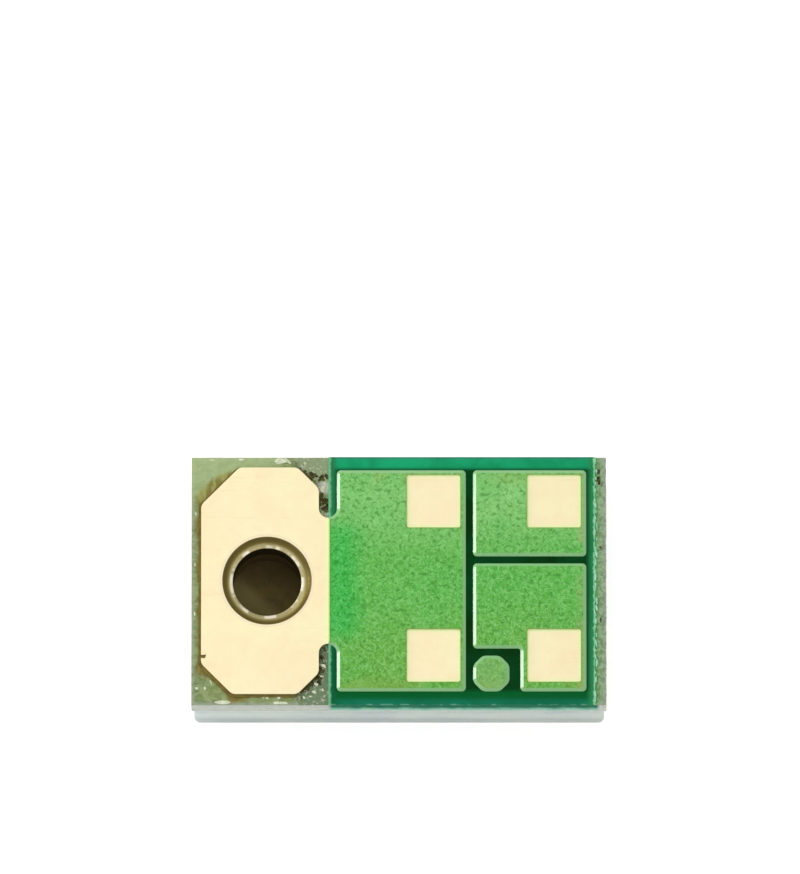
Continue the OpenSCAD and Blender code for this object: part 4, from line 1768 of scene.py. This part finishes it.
@dataclass
class Studio:
    """The floor, the light and the camera.

    Args:
        aim: Point that the camera looks at, in millimetres.
        tilt: Height of the camera above the horizon, in degrees.
        distance: Distance of the camera in millimetres.
        lens: Focal length on the sensor.
        sensor: Width of the sensor.
        clip: Nearest and furthest that the camera sees, as shares of its distance.
        floor_size: Side of the floor in metres.
        floor_gap: How far the floor lies under the lid, in millimetres.
        sky: Strength of the even light.
        glow: Strength of the floor's own light.
        lamps: Name, place and size in millimetres and power in watts of each soft light.
    """

    aim: Point = (0.008, 1.32, 1.1)
    tilt: float = 79.1
    distance: float = 193.5
    lens: float = 880.0
    sensor: float = 36.0
    clip: tuple[float, float] = (0.1, 20.0)
    floor_size: float = 0.6
    floor_gap: float = 0.002
    sky: float = 0.56
    glow: float = 0.48
    lamps: tuple[tuple[str, Point, float, float], ...] = (
        ("key", (-14.0, 12.0, 22.0), 16.0, 0.002), ("rim", (-24.0, 4.0, 7.1), 6.0, 0.0012),
        ("top", (3.0, -4.0, 30.0), 18.0, 0.0015))

    def build(self) -> None:
        """Sets up the floor, the world, the lights and the camera."""
        self.floor()
        self.world()
        for name, place, size, power in self.lamps:
            lamp = bpy.data.lights.new(name, "AREA")
            lamp.energy = power
            lamp.size = size * MM
            self.hang(lamp, Vector(place), -Vector(place))
        self.camera()

    def hang(self, data: Any, place: Vector, look: Vector) -> bpy.types.Object:
        """Hangs a light or a camera.

        Args:
            data: The light or the camera.
            place: Where it hangs, in millimetres.
            look: Where it looks.

        Returns:
            The object that holds it.
        """
        holder = bpy.data.objects.new(data.name, data)
        holder.location = place * MM
        holder.rotation_euler = look.to_track_quat("-Z", "Y").to_euler()
        bpy.context.scene.collection.objects.link(holder)
        return holder

    def floor(self) -> None:
        """Lays a pale floor just under the lid."""
        bpy.ops.object.select_all(action="DESELECT")
        bpy.ops.mesh.primitive_plane_add(size=self.floor_size, location=(0, 0, -self.floor_gap * MM))
        floor = bpy.context.active_object
        floor.name = "floor"
        bpy.ops.object.transform_apply(location=True, rotation=True, scale=True)
        material = bpy.data.materials.new("floor_white")
        material.use_nodes = True
        Graph(material.node_tree).feed(material.node_tree.nodes["Principled BSDF"], {
            "Base Color": (0.93, 0.93, 0.92, 1.0), "Roughness": 0.8, "Specular IOR Level": 0.1,
            "Emission Color": (1.0, 1.0, 1.0, 1.0), "Emission Strength": self.glow})
        floor.data.materials.append(material)

    def world(self) -> None:
        """Lights everything evenly."""
        world = bpy.data.worlds.new("pale_room")
        world.use_nodes = True
        Graph(world.node_tree).feed(world.node_tree.nodes["Background"], {
            "Color": (1.0, 1.0, 1.0, 1.0), "Strength": self.sky})
        bpy.context.scene.world = world
        bpy.context.scene.view_settings.view_transform = "Standard"

    def camera(self) -> None:
        """Sets the camera at the photograph's angle."""
        tilt = math.radians(self.tilt)
        back = Vector((0.0, -math.cos(tilt), math.sin(tilt)))
        view = bpy.data.cameras.new("view")
        view.lens, view.sensor_width = self.lens, self.sensor
        view.clip_start, view.clip_end = (self.distance * MM * share for share in self.clip)
        bpy.context.scene.camera = self.hang(view, Vector(self.aim) + back * self.distance, -back)


@dataclass
class InnerParts:
    """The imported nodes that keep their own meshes, and what each is dressed in.

    Args:
        effects: The shared node groups.
    """

    effects: Effects

    def build(self) -> None:
        """Dresses each kept node."""
        dresses = {
            Finish("copper", (176, 96, 58), (224, 150, 104), 1.0, (0.3, 0.5), 24.0):
                ("ground_plane", "output_land", "supply_land", "test_land", "inner_ground", "ground_vias",
                 "signal_vias"),
            Finish("silicon", (70, 74, 84), (98, 102, 112), 0.6, (0.2, 0.35), 30.0, 0.0006):
                ("amplifier_die",),
            Finish("sensor_silicon", (104, 84, 50), (132, 110, 72), 0.2, (0.3, 0.45), 30.0, 0.0006):
                ("sensor_frame",),
            DiaphragmFinish("polysilicon", (100, 86, 42), (124, 108, 58), 0.0, (0.4, 0.6), 7.0, shine=0.1):
                ("diaphragm", "backplate"),
            Finish("oxide", (96, 110, 128), (132, 146, 160), 0.0, (0.15, 0.3), 16.0, 0.0004):
                ("oxide_spacer",),
            Finish("die_adhesive", (176, 174, 166), (212, 210, 202), 0.0, (0.5, 0.7), 14.0):
                ("sensor_adhesive", "amplifier_adhesive"),
            Finish("bond_gold", (226, 170, 62), (255, 214, 110), 1.0, (0.15, 0.3), 40.0, 0.0006):
                ("sensor_pads", "amplifier_pads", "sensor_wires", "board_wires"),
            Finish("island_gold", (232, 192, 116), (252, 224, 160), 1.0, (0.3, 0.45), 20.0):
                ("bond_islands",),
            Finish("encapsulant", (16, 16, 18), (34, 34, 38), 0.0, (0.25, 0.45), 6.0, 0.003):
                ("encapsulant",),
            Finish("inner_mask", (20, 96, 52), (46, 132, 78), 0.0, (0.3, 0.45), 16.0): ("inner_mask",),
        }
        for finish, nodes in dresses.items():
            material = finish.build(self.effects)
            for node in nodes:
                for slot in bpy.data.objects[node].material_slots:
                    slot.material = material
                log.info("%s: dressed in %s", node, finish.name)


def main() -> None:
    """Builds the microphone's looks in order."""
    logging.basicConfig(level=logging.INFO, format="%(name)s: %(message)s")
    effects = Effects()
    Studio().build()
    port, land, pads = SoundPort(), PortLand(), SolderPads()
    gold = GoldFinish("plated_gold", (252, 239, 199), (251, 241, 195), 0.5, (0.5, 0.6), 14.0, 0.001)
    # the plating's dark and light colours are the cove's painted shade and the lip's painted highlight
    plating = PlatingFinish("port_plating", (124, 108, 48), (178, 168, 122), 0.6, (0.35, 0.5), 18.0, 0.001)
    green = MaskFinish("green_mask", (0, 80, 40), (110, 190, 95), 0.0, (0.4, 0.55), 24.0, 0.004, 0.02)
    torn = Finish("torn_mask", (112, 190, 140), (186, 234, 202), 0.0, (0.4, 0.6), 30.0)
    laminate = LaminateFinish("glass_laminate", (112, 132, 84), (156, 170, 128), 0.0, (0.5, 0.75), 18.0,
                              0.003, 0.02, outer=land.outer_sides(), inner=land.inner_sides())
    chip = Finish("glass_chips", (190, 200, 150), (240, 244, 224), 0.0, (0.4, 0.6), 30.0)
    # painted shade: the walls' colours are darker than the face's
    metal = LidFinish("drawn_metal", (152, 162, 162), (178, 188, 188), 1.0, (0.36, 0.5), 26.0, 0.0015)
    solder = Finish("seam_solder", (150, 152, 150), (202, 204, 200), 1.0, (0.3, 0.5), 10.0, 0.004)
    port.build(plating.build(effects))
    gold_metal = gold.build(effects)
    land.build(port, gold_metal)
    pads.build(gold_metal)
    MaskCoat(pads).build(green.build(effects), torn.build(effects))
    Board().build(port, laminate.build(effects), chip.build(effects))
    Lid().build(metal.build(effects), solder.build(effects))
    InnerParts(effects).build()


if __name__ == "__main__":
    main()
